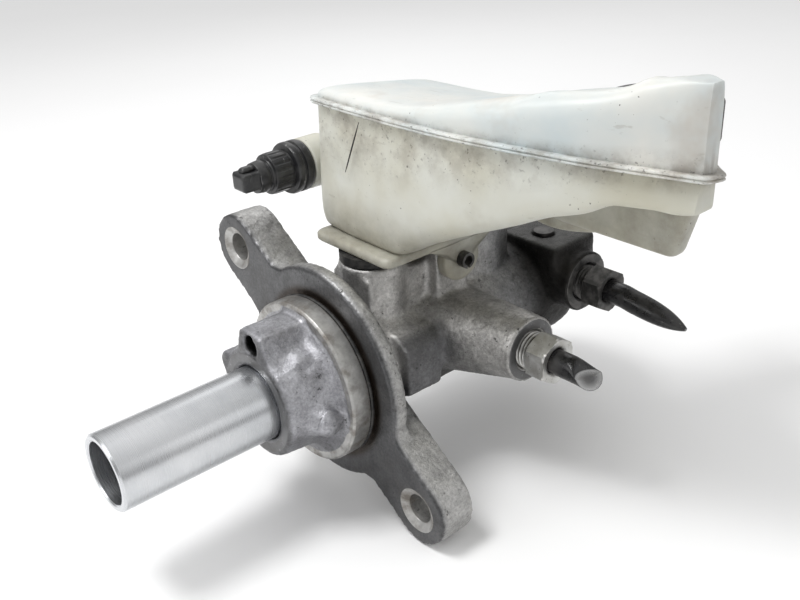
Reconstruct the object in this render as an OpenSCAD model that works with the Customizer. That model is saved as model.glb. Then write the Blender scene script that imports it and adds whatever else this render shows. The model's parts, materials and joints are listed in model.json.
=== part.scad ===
// Tandem brake master cylinder with its fluid reservoir.
// The bore runs along X. The origin is the centre of the flange face that bolts to the booster, the
// piston comes
// out towards -X, the reservoir stands on top towards +Z and the brake pipes leave towards -Y.

/* [Bore and pistons] */
// Diameter of both pistons
piston_d = 22.2; // [21:0.1:23]
// Radial gap between a piston and its bore
bore_gap = 0.05; // [0.02:0.01:0.1]
// Bore depth ahead of the flange face
bore_depth = 95; // [94:0.5:100]
// How far the primary piston stands out behind the flange face
piston_reach = 70.4; // [50:0.1:90]
// Diameter of the hollow in the back of the primary piston
tube_bore_d = 18; // [14:0.5:19]
// Stroke of the floating piston, half of the primary piston's
floating_stroke = 12; // [6:0.5:12]

/* [Flange and nose] */
// Distance between the two stud holes
hole_spacing = 99.8; // [96:0.1:130]
// Diameter of a stud hole
stud_hole_d = 9; // [7:0.1:10]
// Diameter of the countersink around a stud hole
countersink_d = 13.6; // [11:0.1:16]
// Thickness of the two ears
ear_t = 12.5; // [9:0.5:16]
// Radius of an ear's round end
ear_r = 10.9; // [9.5:0.1:13]
// Thickness of the round middle of the flange
flange_t = 5.5; // [4:0.5:8]
// Diameter of the round middle of the flange
flange_d = 67; // [62:1:72]
// Turn of the ear line about the bore, from +Y towards +Z
ear_roll = 34.8; // [0:0.1:45]
// Diameter of the spigot that centres the flange in the booster
spigot_d = 50.2; // [48:0.1:54]
// Length of the spigot
spigot_l = 7.7; // [6:0.1:10]
// Diameter of the nose ring
nose_d = 33.7; // [32:0.1:38]
// Reach of the nose behind the flange face
nose_l = 23.5; // [22:0.1:28]

/* [Barrel and outlets] */
// Diameter of the barrel
barrel_d = 35.2; // [34:0.2:40]
// Length of the barrel ahead of the flange face
barrel_l = 101; // [100:0.5:110]
// Diameter of an outlet boss at its face
boss_d = 20.4; // [18:0.2:23]
// Place of the front outlet along the bore
front_outlet_x = 46.5; // [46:0.1:48]
// Height of the front outlet over the bore
front_outlet_z = 5.6; // [0:0.1:8]
// Distance from the bore to the front outlet's face
front_outlet_y = 42; // [34:0.5:50]
// Place of the rear outlet along the bore
rear_outlet_x = 88.5; // [87:0.1:89]
// Height of the rear outlet over the bore
rear_outlet_z = 8.5; // [4:0.1:10]
// Distance from the bore to the rear outlet's face
rear_outlet_y = 28.5; // [26:0.5:40]
// Place of the primary circuit's inlet along the bore
primary_inlet_x = 22; // [21:0.1:23]
// Place of the floating circuit's inlet along the bore
floating_inlet_x = 64.5; // [63.5:0.1:64.5]

/* [Pipes] */
// Width across the flats of a tube nut
nut_af = 13; // [11:0.5:14]
// Outside diameter of a tube nut's thread
nut_thread_d = 11.9; // [10:0.1:12]
// Length of a tube nut's hexagon
nut_hex_l = 7; // [5:0.5:9]
// Outside diameter of a brake pipe with its plastic coat
pipe_d = 7.6; // [4.7:0.1:8]

/* [Reservoir] */
// Height of the underside of the base plate over the bore
plate_z = 34; // [33:0.5:38]
// Thickness of the base plate
plate_t = 3.4; // [2.5:0.1:5]
// Half the width of the base plate
plate_half_w = 17.2; // [16:0.1:20]
// Back edge of the base plate along the bore
plate_x0 = 13.7; // [10:0.1:13.7]
// Front edge of the base plate along the bore
plate_x1 = 74; // [73:0.5:78]
// Wall of the moulded tank
tank_wall = 2.4; // [1.8:0.1:3]
// Height of the seam at the back face of the tank
seam_z = 76.5; // [74:0.5:82]
// Slope of the seam down towards the front, in degrees
seam_tilt = 8; // [6:0.5:10]
// Reach of the seam flange past the wall
seam_lip = 2.6; // [1.5:0.1:4]
// Thickness of each half of the seam flange
seam_t = 1.2; // [0.8:0.1:2]
// Diameter of the cross pin that holds the reservoir
cross_pin_d = 5; // [4:0.1:6]

/* [Filler cap] */
// Diameter of the cap
cap_d = 36; // [34:0.5:40]
// Height of the cap
cap_h = 12; // [10:0.5:16]
// Place of the filler neck along the bore
neck_x = 98.5; // [98:0.5:101]
// Place of the filler neck across the bore
neck_y = -45; // [-48:0.5:-42]
// Height of the neck's rim over the bore
neck_z = 67.5; // [66:0.5:72]

/* [Level sensor] */
// Diameter of the sensor's flange
sensor_d = 16; // [14:0.2:17]
// Place of the sensor across the bore
sensor_y = 29; // [28.5:0.5:31]
// Height of the sensor over the bore
sensor_z = 54; // [53:0.5:56]

/* [Hidden] */
$fn = 64;

piston_r = piston_d / 2;
bore_r = piston_r + bore_gap;
barrel_r = barrel_d / 2;
groove_r = bore_r + 2.8;
relief_r = bore_r + 0.9;
seat_gap = 0.05;
seal_w = 3.3;
land_w = 1.5;

// Seals and passages of the primary circuit, from its inlet outwards
inlet_half = 3.5;
outer_seal_x = primary_inlet_x - inlet_half - land_w - seal_w;
pressure_seal_x = primary_inlet_x + inlet_half + land_w;
primary_front_x = pressure_seal_x + seal_w + land_w + 0.2;
primary_stroke = 2 * floating_stroke;
floating_back_x = primary_front_x + floating_stroke + 0.5;
sleeve_end_x = floating_back_x - floating_stroke - 3.5;

// The floating piston, measured from the pin that stops it
stop_pin_r = 2;
front_land_x = floating_inlet_x + stop_pin_r + 0.1;
rear_land_x1 = floating_inlet_x - stop_pin_r - floating_stroke - 0.5;
floating_front_x = front_land_x + 9;
seal_groove_r = piston_r - 3.1;
rear_groove_x = rear_land_x1 - 1 - seal_w;
front_groove_x = front_land_x + 1.7;
spring_seat_x = front_land_x + 1;

tube_port_r = nut_thread_d / 2 + 0.1;
tube_port_depth = 14;
drill_r = 1.75;
front_drill_x = floating_back_x - drill_r - 0.2;
seam_x = 18;
seam_gap = 0.05;
seam_bury = 0.4;
pin_x = 43;
pin_z = 28.7;
pin_half_l = plate_half_w + 2.6;
nipple_r = 5.5;
grommet_r = 8.2;
saddle_z = plate_z - 6;
sensor_back_x = 18;
sensor_tube_r = 4;
float_x = 43;
float_y = 4;
float_post_r = 2.5;
neck_r = 14;
cap_z = neck_z + 3.5 - cap_h;
cap_top_t = 2.2;
tower_x0 = 66;
tower_h = 13.5;
tower_gap = 1;
pocket_x = 49;
pocket_z = 47.5;
cap_liner_r = neck_r - 0.5;

// ---------- shared shapes ----------

// Turns a shape drawn in the XY plane so that its extrusion runs along +X
module along_x() rotate([90, 0, 90]) children();

// A cylinder along +X from x0 to x1
module rod_x(r, x0, x1, r2 = undef)
    translate([x0, 0, 0]) rotate([0, 90, 0]) cylinder(h = x1 - x0, r1 = r, r2 = is_undef(r2) ? r : r2);

// A cylinder along -Y from y0 out to y1
module rod_out(x, z, r, y0, y1, r2 = undef)
    translate([x, -y0, z]) rotate([90, 0, 0]) cylinder(h = y1 - y0, r1 = r, r2 = is_undef(r2) ? r : r2);

// Revolves a profile of [x, radius] points about the bore
module lathe(profile) rotate([0, 90, 0]) rotate_extrude($fn = 96)
    polygon([for (p = profile) [p[1], p[0]]]);

// Points of an arc in [x, radius] coordinates
function arc(cx, cr, r, a0, a1, n = 6) = [for (i = [0 : n]) let (a = a0 + (a1 - a0) * i / n)
    [cx + r * cos(a), cr + r * sin(a)]];

// A ring about the bore, from x0 to x1
module ring_x(r_in, r_out, x0, x1) lathe([[x0, r_in], [x0, r_out], [x1, r_out], [x1, r_in]]);

// A cup seal whose open side faces +X, with a lip on its inner or its outer edge
module cup_seal(r_in, r_out, x0, w)
    lathe([[x0, r_in], [x0, r_out], [x0 + w, r_out], [x0 + w, r_out - 0.7], [x0 + w * 0.45, r_out - 1.1],
        [x0 + w * 0.45, r_in + 1.1], [x0 + w, r_in + 0.7], [x0 + w, r_in]]);

// ---------- cylinder body ----------

nose_x = -nose_l;
nose_r = nose_d / 2;
spigot_r = spigot_d / 2;
spigot_root_r = spigot_r - 1;
root_groove_w = 1.7;
o_ring_r = 0.6;
root_relief_r = spigot_r + 0.9;
root_relief_t = 0.3;

// The countersinks are cut at 120 degrees
sink_slope = tan(30);
sink_t = (countersink_d - stud_hole_d) / 2 * sink_slope;
fillet_r = 5;

function body_outline() = concat(
    [[nose_x, 0], [nose_x, nose_r - 0.5], [nose_x + 0.5, nose_r]],
    [[-spigot_l - fillet_r, nose_r + 0.8]],
    arc(-spigot_l - fillet_r, nose_r + 0.8 + fillet_r, fillet_r, 270, 360),
    [[-spigot_l, spigot_r - 0.5], [-spigot_l + 0.5, spigot_r], [-root_groove_w, spigot_r]],
    [[-root_groove_w, spigot_root_r], [root_relief_t, spigot_root_r]],
    [[root_relief_t, root_relief_r], [0, root_relief_r]],
    [[0, flange_d / 2 - 0.5], [0.5, flange_d / 2], [flange_t - 1, flange_d / 2],
        [flange_t, flange_d / 2 - 1]],
    [[flange_t, barrel_r + 9]],
    arc(flange_t + 10, barrel_r + 10, 10, 185, 270),
    [[barrel_l - 30, barrel_r], [barrel_l - 22, barrel_r + 1.8]],
    arc(barrel_l - 9, barrel_r - 7.2, 9, 90, 0),
    [[barrel_l, 0]]);

function bore_cut() = [
    [nose_x - 1, 0], [nose_x - 1, bore_r + 1.4], [nose_x, bore_r + 0.4], [nose_x + 1.2, bore_r + 0.3],
    [nose_x + 4.5, bore_r + 0.3], [nose_x + 4.5, bore_r + 1.75], [nose_x + 14.5, bore_r + 1.75],
    [nose_x + 14.5, bore_r], [outer_seal_x, bore_r], [outer_seal_x, groove_r],
    [outer_seal_x + seal_w, groove_r], [outer_seal_x + seal_w, bore_r],
    [primary_inlet_x - inlet_half, bore_r], [primary_inlet_x - inlet_half, bore_r + 1.6],
    [primary_inlet_x + inlet_half, bore_r + 1.6], [primary_inlet_x + inlet_half, bore_r],
    [pressure_seal_x, bore_r], [pressure_seal_x, groove_r],
    [pressure_seal_x + seal_w, groove_r], [pressure_seal_x + seal_w, bore_r],
    [primary_front_x + 0.5, bore_r], [primary_front_x + 0.5, relief_r],
    [floating_back_x - 0.5, relief_r], [floating_back_x, bore_r],
    [bore_depth - 9, bore_r], [bore_depth - 8.5, relief_r], [bore_depth, relief_r], [bore_depth, 0]];

// One ear with its round end, drawn in the flange plane
module ear_shape(side) {
    translate([side * hole_spacing / 2, 0]) circle(r = ear_r, $fn = 96);
    translate([side > 0 ? 0 : -hole_spacing / 2, -ear_r]) square([hole_spacing / 2, 2 * ear_r]);
}

// The hollow blend between an ear's side and the round middle. It bites a little into the middle's rim.
module ear_blend(side, up) {
    blend_r = 6;
    bite = 0.3;
    disc_r = flange_d / 2;
    cv = ear_r + blend_r;
    cu = sqrt(pow(disc_r + blend_r - bite, 2) - cv * cv);
    foot = (disc_r - 1.5) / (disc_r + blend_r - bite);
    difference() {
        polygon([[side * cu, up * (ear_r - 2)], [side * cu, up * cv], [side * cu * foot, up * cv * foot],
            [side * 18, up * (ear_r - 2)]]);
        translate([side * cu, up * cv]) circle(r = blend_r, $fn = 64);
    }
}

module ears() difference() {
    rotate([ear_roll, 0, 0]) along_x() {
        for (side = [-1, 1]) linear_extrude(height = ear_t) ear_shape(side);
        for (side = [-1, 1], up = [-1, 1]) linear_extrude(height = flange_t) ear_blend(side, up);
    }
    rod_x(root_relief_r, -1, root_relief_t);
}

// The boss with the vent hole on top of the nose, the small lobe, the pad and the lug cast onto it
module nose_castings() {
    boss_top = nose_r + 5.7;
    boss_half_w = 5.1;
    translate([nose_x, 0, 0]) along_x() linear_extrude(height = nose_l - spigot_l + 1)
        polygon([[-8.5, nose_r - 4.5], [-boss_half_w, boss_top], [boss_half_w, boss_top],
            [8.5, nose_r - 4.5]]);
    rotate([27, 0, 0]) translate([nose_x, nose_r - 0.6, 0]) rotate([0, 90, 0]) cylinder(h = 8, r = 3.6);
    rotate([30, 0, 0]) translate([nose_x + 8, -3.4, nose_r - 3]) cube([8, 6.8, 4.6]);
    rotate([100, 0, 0]) translate([nose_x + 9.5, -2.6, nose_r - 3]) cube([6.5, 5.2, 8]);
}

vent_hole_r = 3.05;
vent_hole_z = nose_r + 1.6;

module outlet_bosses() {
    rod_out(front_outlet_x, front_outlet_z, boss_d / 2, 0, front_outlet_y);
    hull() {
        rod_out(front_outlet_x, front_outlet_z, boss_d / 2, front_outlet_y - 3, front_outlet_y - 2,
            $fn = 32);
        rod_out(front_outlet_x - 7, front_outlet_z - 2, boss_d / 2 + 3, 8, 9, $fn = 32);
    }
    rod_out(rear_outlet_x, rear_outlet_z, boss_d / 2, 0, rear_outlet_y);
    translate([rear_outlet_x - boss_d / 2, -rear_outlet_y + 5, rear_outlet_z])
        cube([boss_d, rear_outlet_y - 5, boss_d / 2 + 3]);
}

// The cast saddle under the reservoir, with its two inlet bosses and the block that the cross pin runs
// through
module saddle() {
    translate([13, -8.5, 0]) cube([floating_inlet_x - 5, 17, saddle_z]);
    for (x = [primary_inlet_x, floating_inlet_x]) translate([x, 0, 0])
        cylinder(h = saddle_z + 3.2, r = grommet_r + 2);
    translate([pin_x - 6.5, -plate_half_w + 4.4, 0]) cube([13, 2 * plate_half_w - 8.8, plate_z - 0.6]);
}

// The square lug on the outlet side, between the flange and the front outlet
module side_lug() translate([16, -barrel_r - 3.6, -7]) hull() {
    cube([14, 8, 15]);
    translate([0, 6, -2]) cube([13, 4, 21]);
}

module outlet_drillings() {
    for (p = [[front_outlet_x, front_outlet_z, front_outlet_y, front_drill_x],
              [rear_outlet_x, rear_outlet_z, rear_outlet_y, rear_outlet_x]]) {
        rod_out(p[0], p[1], tube_port_r, p[2] - tube_port_depth, p[2] + 1);
        rod_out(p[3], p[1], drill_r, bore_r - 5, p[2] - tube_port_depth + 0.5);
    }
}

plug_y = 11;
plug_r = 3.4;
plug_top = rear_outlet_z + boss_d / 2 + 3;

module inlet_drillings() {
    for (x = [primary_inlet_x, floating_inlet_x]) translate([x, 0, 0]) {
        translate([0, 0, saddle_z - 5.5]) cylinder(h = 12, r = grommet_r);
        translate([0, 0, bore_r - 3]) cylinder(h = saddle_z - bore_r, r = 2.5);
    }
    translate([floating_inlet_x, 0, -barrel_r - 3]) cylinder(h = barrel_r, r = stop_pin_r + 0.02);
    translate([rear_outlet_x - 1.5, -plug_y, plug_top - 3.2]) cylinder(h = 4, r = plug_r + seat_gap);
}

module cylinder_body() color("silver") difference() {
    union() {
        lathe(body_outline());
        ears();
        nose_castings();
        outlet_bosses();
        saddle();
        side_lug();
    }
    lathe(bore_cut());
    rotate([ear_roll, 0, 0]) for (side = [-1, 1]) translate([0, side * hole_spacing / 2, 0]) {
        rod_x(stud_hole_d / 2, -1, ear_t + 1);
        rod_x(countersink_d / 2 + 0.5, -0.5 * sink_slope, sink_t, stud_hole_d / 2);
    }
    translate([0, 0, vent_hole_z]) rod_x(vent_hole_r, nose_x - 1, nose_x + 11);
    outlet_drillings();
    inlet_drillings();
    translate([pin_x, plate_half_w, pin_z]) rotate([90, 0, 0])
        cylinder(h = 2 * plate_half_w, r = cross_pin_d / 2 + seat_gap);
}

// ---------- fixed pieces in and on the body ----------

module guide_bush() color("dimgray") ring_x(piston_r + 0.04, bore_r + 1.7, nose_x + 4.6, nose_x + 14.4);

module primary_outer_seal() color("black")
    cup_seal(piston_r + 0.02, groove_r - 0.1, outer_seal_x + 0.05, seal_w - 0.1);

module primary_pressure_seal() color("black")
    cup_seal(piston_r + 0.02, groove_r - 0.1, pressure_seal_x + 0.05, seal_w - 0.1);

module spigot_o_ring() color("black")
    rotate([0, 90, 0]) translate([0, 0, -root_groove_w / 2]) rotate_extrude($fn = 96)
        translate([spigot_root_r + o_ring_r + seat_gap, 0]) circle(r = o_ring_r, $fn = 24);

module stop_pin() color("silver")
    translate([floating_inlet_x, 0, -barrel_r + 0.3]) cylinder(h = barrel_r - 7.5, r = stop_pin_r);

module boss_plug() color("gray")
    translate([rear_outlet_x - 1.5, -plug_y, plug_top - 3.1]) cylinder(h = 3.9, r = plug_r);

module grommet(x) color("black") translate([x, 0, 0]) difference() {
    union() {
        translate([0, 0, saddle_z - 5]) cylinder(h = 9, r = grommet_r - seat_gap);
        translate([0, 0, saddle_z + 3.3]) cylinder(h = plate_z - saddle_z - 3.4, r = grommet_r + 1.6);
    }
    translate([0, 0, saddle_z - 6]) cylinder(h = 14, r = nipple_r + seat_gap);
}

module primary_grommet() grommet(primary_inlet_x);

module floating_grommet() grommet(floating_inlet_x);

// Slotted spring pin through the base plate's two lugs and the saddle block
module reservoir_pin() color("dimgray") translate([pin_x, pin_half_l, pin_z]) rotate([90, 0, 0])
    difference() {
    cylinder(h = 2 * pin_half_l, r = cross_pin_d / 2);
    translate([0, 0, -1]) cylinder(h = 2 * pin_half_l + 2, r = cross_pin_d / 2 - 0.9);
    translate([-0.45, -cross_pin_d, -1]) cube([0.9, cross_pin_d, 2 * pin_half_l + 2]);
}

// ---------- tube nuts and pipes ----------

module tube_nut(x, y, z) {
    bore = pipe_d / 2 + 0.15;
    difference() {
        union() {
            rod_out(x, z, nut_thread_d / 2, y - 7, y + 3.2);
            rod_out(x, z, nut_af / 2 / cos(30), y + 3.2, y + 3.2 + nut_hex_l, $fn = 6);
        }
        rod_out(x, z, bore, y - 8, y + nut_hex_l + 5);
    }
}

module tube_nut_front() color("silver") tube_nut(front_outlet_x, front_outlet_y, front_outlet_z);

module tube_nut_rear() color("dimgray") tube_nut(rear_outlet_x, rear_outlet_y, rear_outlet_z);

// A short brake pipe: straight through its nut, then bent down by turn degrees and cut off
module brake_pipe(x, y, z, tail, turn) {
    sides = 24;
    bend = 4;
    elbow = y + nut_hex_l + 4;
    flare_y = y - tube_port_depth + 1;
    step = 1.5;
    path = concat([[flare_y + 3, z, 0], [elbow, z, 0]],
        [for (i = [1 : bend]) let (a = turn * i / bend)
            [elbow + step * i, z - step * i * sin(a * 0.6), a]],
        [[elbow + step * bend + tail * cos(turn), z - step * bend * sin(turn * 0.6) - tail * sin(turn),
            turn]]);
    rings = [for (p = path) for (k = [0 : sides - 1]) let (b = 360 * k / sides, u = pipe_d / 2 * cos(b))
        [x + pipe_d / 2 * sin(b), -p[0] + u * sin(p[2]), p[1] + u * cos(p[2])]];
    last = (len(path) - 1) * sides;
    skin = [for (i = [0 : len(path) - 2], k = [0 : sides - 1])
        let (a = i * sides + k, b = i * sides + (k + 1) % sides)
            each [[a, b, b + sides], [a, b + sides, a + sides]]];
    polyhedron(rings, concat(skin, [[for (k = [sides - 1 : -1 : 0]) k]],
        [[for (k = [0 : sides - 1]) last + k]]));
    rod_out(x, z, tube_port_r - 0.4, flare_y, flare_y + 3.5);
}

module brake_pipe_front() color("dimgray")
    brake_pipe(front_outlet_x, front_outlet_y, front_outlet_z, 7, -4);

module brake_pipe_rear() color("dimgray")
    brake_pipe(rear_outlet_x, rear_outlet_y, rear_outlet_z, 21, 6.5);

// ---------- reservoir ----------

// Height of the seam plane at a place along the bore
function seam_at(x) = seam_z - tan(seam_tilt) * (x - seam_x);

// Stations across the tank: [y, back wall x, front wall x, height of the floor, rise of the top over
// the seam]
tank_stations = [
    [19.5, 26, 58, 42, 2.5], [18.5, 21, 62.5, 38.5, 3.2], [15.5, 18.6, 65, 36.5, 4], [0, 18, 66, 36, 4],
    [-14, 18, 67, 36, 4.5], [-18, 18.1, 68, 37.5, 5], [-24, 18.4, 70, 41, 6], [-32, 19, 73, 45, 8],
    [-42, 20.5, 77, 49.5, 10.5], [-54, 23.5, 78, 54.5, 13], [-64, 26.4, 74.5, 59, 14.5],
        [-72, 29, 69, 61.5, 16],
    [-80, 32.5, 62.5, 65, 18.5], [-87, 36, 55.5, 65, 20.5], [-92, 38.5, 50, 64.5, 21.5],
        [-96, 40.5, 46, 65, 20.5]];

// How square the sections are: the smaller, the squarer
lower_power = 0.18;
upper_power = 0.5;

// How far the foot of the back wall leans out
back_lean = 2.2;

// A tank half as rings of points, one ring at each station. way is -1 under the seam and 1 over it, inset
// moves the walls inwards and over carries the open edge past the seam plane.
function half_ring(s, way, inset, over, n) = let (
        xb = s[1] + inset,
        xf = s[2] - inset,
        half = (xf - xb) / 2,
        mid = (xf + xb) / 2,
        power = way < 0 ? lower_power : upper_power,
        lean = way < 0 ? back_lean : 0)
    [for (i = [0 : n]) let (
            a = 180 - 180 * i / n,
            across = sign(cos(a)) * pow(abs(cos(a)), power),
            w = i % n == 0 ? 0 : pow(sin(a), power),
            x = mid + half * across + lean * w * min(0, across),
            top = seam_at(x))
        [x, s[0], w == 0 ? top - way * over : way < 0 ? top - w * (top - s[3] - inset)
            : top + w * (s[4] - inset)]];

// The stations drawn in towards the tank's middle, so that both ends keep their wall
tank_y1 = tank_stations[0][0];
tank_y0 = tank_stations[len(tank_stations) - 1][0];
function inset_stations(inset) = let (middle = (tank_y0 + tank_y1) / 2,
    share = 1 - 2 * inset / (tank_y1 - tank_y0))
    [for (s = tank_stations) [middle + (s[0] - middle) * share, s[1], s[2], s[3], s[4]]];

module tank_half(way, inset, over) {
    n = 14;
    m = n + 1;
    rows = inset_stations(inset);
    last = len(rows) - 1;
    points = [for (s = rows) each half_ring(s, way, inset, over, n)];
    sides = [for (r = [0 : last - 1], k = [0 : m - 1]) let (a = r * m + k, b = r * m + (k + 1) % m)
        each [[a, b, b + m], [a, b + m, a + m]]];
    ends = [[for (k = [m - 1 : -1 : 0]) k], [for (k = [0 : m - 1]) last * m + k]];
    faces = concat(sides, ends);
    polyhedron(points, way < 0 ? [for (f = faces) [for (i = [len(f) - 1 : -1 : 0]) f[i]]] : faces,
        convexity = 6);
}

// The seam flange's outline follows the walls
function end_reach(y, out) = y > 17 ? out : y < -93 ? -out : 0;
function seam_outline(out) = concat(
    [for (s = tank_stations) [s[1] - out, s[0] + end_reach(s[0], out)]],
    [for (i = [len(tank_stations) - 1 : -1 : 0]) let (s = tank_stations[i])
        [s[2] + out, s[0] + end_reach(s[0], out)]]);

// A plate between two heights over the seam plane
module seam_plate(z0, z1, out) translate([seam_x, 0, seam_z]) rotate([0, seam_tilt, 0])
    translate([0, 0, z0])
    linear_extrude(height = z1 - z0)
        polygon([for (p = seam_outline(out)) [(p[0] - seam_x) / cos(seam_tilt), p[1]]]);

module base_plate() {
    translate([plate_x0, -plate_half_w, plate_z]) cube([plate_x1 - plate_x0, 2 * plate_half_w, plate_t]);
    for (side = [-1, 1]) translate([pin_x, side * (plate_half_w - 2) + 2, pin_z]) rotate([90, 0, 0])
        linear_extrude(height = 4) {
            circle(r = 7.2);
            polygon([[-14, 5.6], [-6.4, -3.3], [6.4, -3.3], [14, 5.6]]);
        }
    for (x = [primary_inlet_x, floating_inlet_x]) translate([x, 0, saddle_z - 4])
        cylinder(h = 10, r = nipple_r);
}

module reservoir_lower() color("ivory") difference() {
    union() {
        difference() {
            union() {
                tank_half(-1, 0, -seam_bury);
                seam_plate(-seam_t, 0, seam_lip);
                sensor_housing();
                front_pocket(0);
                filler_tower(0);
            }
            tank_half(-1, tank_wall, 1);
            front_pocket(tank_wall);
            filler_tower(tank_wall);
        }
        base_plate();
        translate([neck_x, neck_y, cap_z - tower_gap - 1])
            cylinder(h = neck_z - cap_z + tower_gap + 1, r = neck_r);
        translate([float_x, float_y, plate_z + 1]) cylinder(h = 30, r = float_post_r);
    }
    for (x = [primary_inlet_x, floating_inlet_x])
        translate([x, 0, saddle_z - 5]) cylinder(h = 18, r = nipple_r - 1.6);
    translate([neck_x, neck_y, cap_z - tower_gap - tank_wall - 1])
        cylinder(h = neck_z - cap_z + 8, r = neck_r - 2);
    translate([pin_x, plate_half_w + 4, pin_z]) rotate([90, 0, 0])
        cylinder(h = 2 * plate_half_w + 8, r = cross_pin_d / 2 + seat_gap);
    translate([0, sensor_y, sensor_z]) {
        rod_x(sensor_tube_r + 1.7, sensor_back_x - 1, sensor_back_x + 34);
        rod_x(sensor_d / 2 - 1, sensor_back_x + 1.6, sensor_back_x + 7);
    }
}

// The horizontal pocket that the level sensor plugs into, on the tank's +Y side
module sensor_housing() translate([0, sensor_y, sensor_z]) {
    rod_x(sensor_d / 2 + 1.2, sensor_back_x + 1.6, sensor_back_x + 10);
    rod_x(sensor_tube_r + 3.2, sensor_back_x + 8, sensor_back_x + 36);
    translate([sensor_back_x + 8, -14, -5]) cube([26, 12, 10]);
}

// The deep pocket at the tank's far end, set back under the overhang
module front_pocket(inset) translate([pocket_x, 0, pocket_z + inset]) hull() {
    for (end = [[-85, 6, 0], [-30, 18, 0], [-90, 6, 13], [-30, 22, 13]])
        translate([inset, end[0] + (end[0] < -60 ? inset : -inset - 1), end[2]])
            cube([end[1] - 2 * inset, 1, 6 + end[2] / 4]);
}

// The side chamber under the filler neck, on the far side of the tank
module filler_tower(inset) translate([0, neck_y, cap_z - tower_gap - tower_h + inset]) {
    tower_r = neck_r + 3 - inset;
    hull() for (x = [tower_x0, neck_x]) translate([x, 0, 0])
        cylinder(h = tower_h - 2 * inset, r = tower_r, $fn = 32);
}

module reservoir_upper() color("ivory") difference() {
    union() {
        tank_half(1, 0, -seam_bury - seam_gap);
        seam_plate(seam_gap, seam_t + seam_gap, seam_lip);
    }
    tank_half(1, tank_wall, 1);
}

module level_sensor() color([0.08, 0.08, 0.09]) translate([0, sensor_y, sensor_z]) {
    rod_x(sensor_d / 2, sensor_back_x - 4.5, sensor_back_x + 1.5);
    rod_x(6.3, sensor_back_x - 11.5, sensor_back_x - 4.5);
    rod_x(4.9, sensor_back_x - 16, sensor_back_x - 11.5);
    translate([sensor_back_x - 21.5, -3.4, -2.8]) cube([5.5, 6.8, 5.6]);
    rod_x(sensor_tube_r, sensor_back_x + 1.5, sensor_back_x + 32);
}

module sensor_seal() color("black") translate([0, sensor_y, sensor_z])
    ring_x(sensor_tube_r + seat_gap, sensor_d / 2 - 1.1, sensor_back_x + 1.65, sensor_back_x + 4);

module filler_strainer() color("white") translate([neck_x, neck_y, neck_z - 18]) difference() {
    cylinder(h = 18, r = neck_r - 2.3);
    translate([0, 0, 1]) cylinder(h = 19, r = neck_r - 3.3);
}

module cap_gasket() color("black") translate([neck_x, neck_y, neck_z + 0.1]) difference() {
    cylinder(h = 3.5 - cap_top_t - 0.15, r = cap_liner_r);
    translate([0, 0, -1]) cylinder(h = 4, r = neck_r - 3.2);
}

module filler_cap() color([0.1, 0.1, 0.1]) translate([neck_x, neck_y, cap_z]) difference() {
    cylinder(h = cap_h, r = cap_d / 2);
    translate([0, 0, -1]) cylinder(h = cap_h - cap_top_t + 1, r = neck_r + 0.6);
}

module level_float() color("white") translate([float_x, float_y, plate_z + 5]) difference() {
    cylinder(h = 8, r = 8);
    translate([0, 0, -1]) cylinder(h = 10, r = float_post_r + 0.4);
}

module float_magnet() color("dimgray") translate([float_x, float_y, plate_z + 13.1]) difference() {
    cylinder(h = 2, r = 6);
    translate([0, 0, -1]) cylinder(h = 4, r = float_post_r + 0.4);
}

// ---------- pistons and springs ----------

web_x0 = -8;

module primary_piston() color([0.8, 0.81, 0.83]) difference() {
    lathe([[-piston_reach, tube_bore_d / 2 + 0.4], [-piston_reach, piston_r - 0.6],
        [-piston_reach + 0.6, piston_r],
        [primary_front_x - 0.6, piston_r], [primary_front_x, piston_r - 0.6], [primary_front_x, 8.8],
            [0, 8.8],
        [0, 0], [web_x0 + 1.5, 0], [web_x0, tube_bore_d / 2 - 2.5],
        [web_x0 - 0.8, tube_bore_d / 2 - 0.1], [web_x0 - 2, tube_bore_d / 2],
        [-piston_reach + 0.4, tube_bore_d / 2]]);
    for (a = [45 : 90 : 359]) rotate([a, 0, 0]) translate([primary_inlet_x + inlet_half - 0.5, 0, 7])
        cylinder(h = 6, r = 0.6, $fn = 24);
}

module spring_sleeve() color("silver") lathe([
    [0.05, 0], [0.05, 8.3], [1.2, 8.3], [1.2, 4.6], [sleeve_end_x, 4.6], [sleeve_end_x, 2.1],
    [sleeve_end_x - 1, 2.1], [sleeve_end_x - 1, 3.8], [1, 3.8], [1, 0]]);

module captive_screw() color("silver") {
    rod_x(3.5, sleeve_end_x - 4.9, sleeve_end_x - 1.1);
    rod_x(1.9, sleeve_end_x - 1.2, floating_back_x + 8);
}

module floating_piston() color([0.8, 0.81, 0.83]) lathe([
    [floating_back_x + 8.2, 0], [floating_back_x + 8.2, 1.93], [floating_back_x, 1.93],
    [floating_back_x, piston_r - 0.6], [floating_back_x + 0.6, piston_r],
    [rear_groove_x, piston_r], [rear_groove_x, seal_groove_r], [rear_groove_x + seal_w, seal_groove_r],
    [rear_groove_x + seal_w, piston_r], [rear_land_x1, piston_r], [rear_land_x1, 7], [front_land_x, 7],
    [front_land_x, piston_r], [front_groove_x, piston_r], [front_groove_x, seal_groove_r],
    [front_groove_x + seal_w, seal_groove_r], [front_groove_x + seal_w, piston_r],
    [floating_front_x, piston_r], [floating_front_x, 7.2], [spring_seat_x, 7.2], [spring_seat_x, 0]]);

module floating_rear_seal() color("black")
    cup_seal(seal_groove_r + 0.05, bore_r - 0.03, rear_groove_x + 0.05, seal_w - 0.1);

module floating_front_seal() color("black")
    cup_seal(seal_groove_r + 0.05, bore_r - 0.03, front_groove_x + 0.05, seal_w - 0.1);

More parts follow.
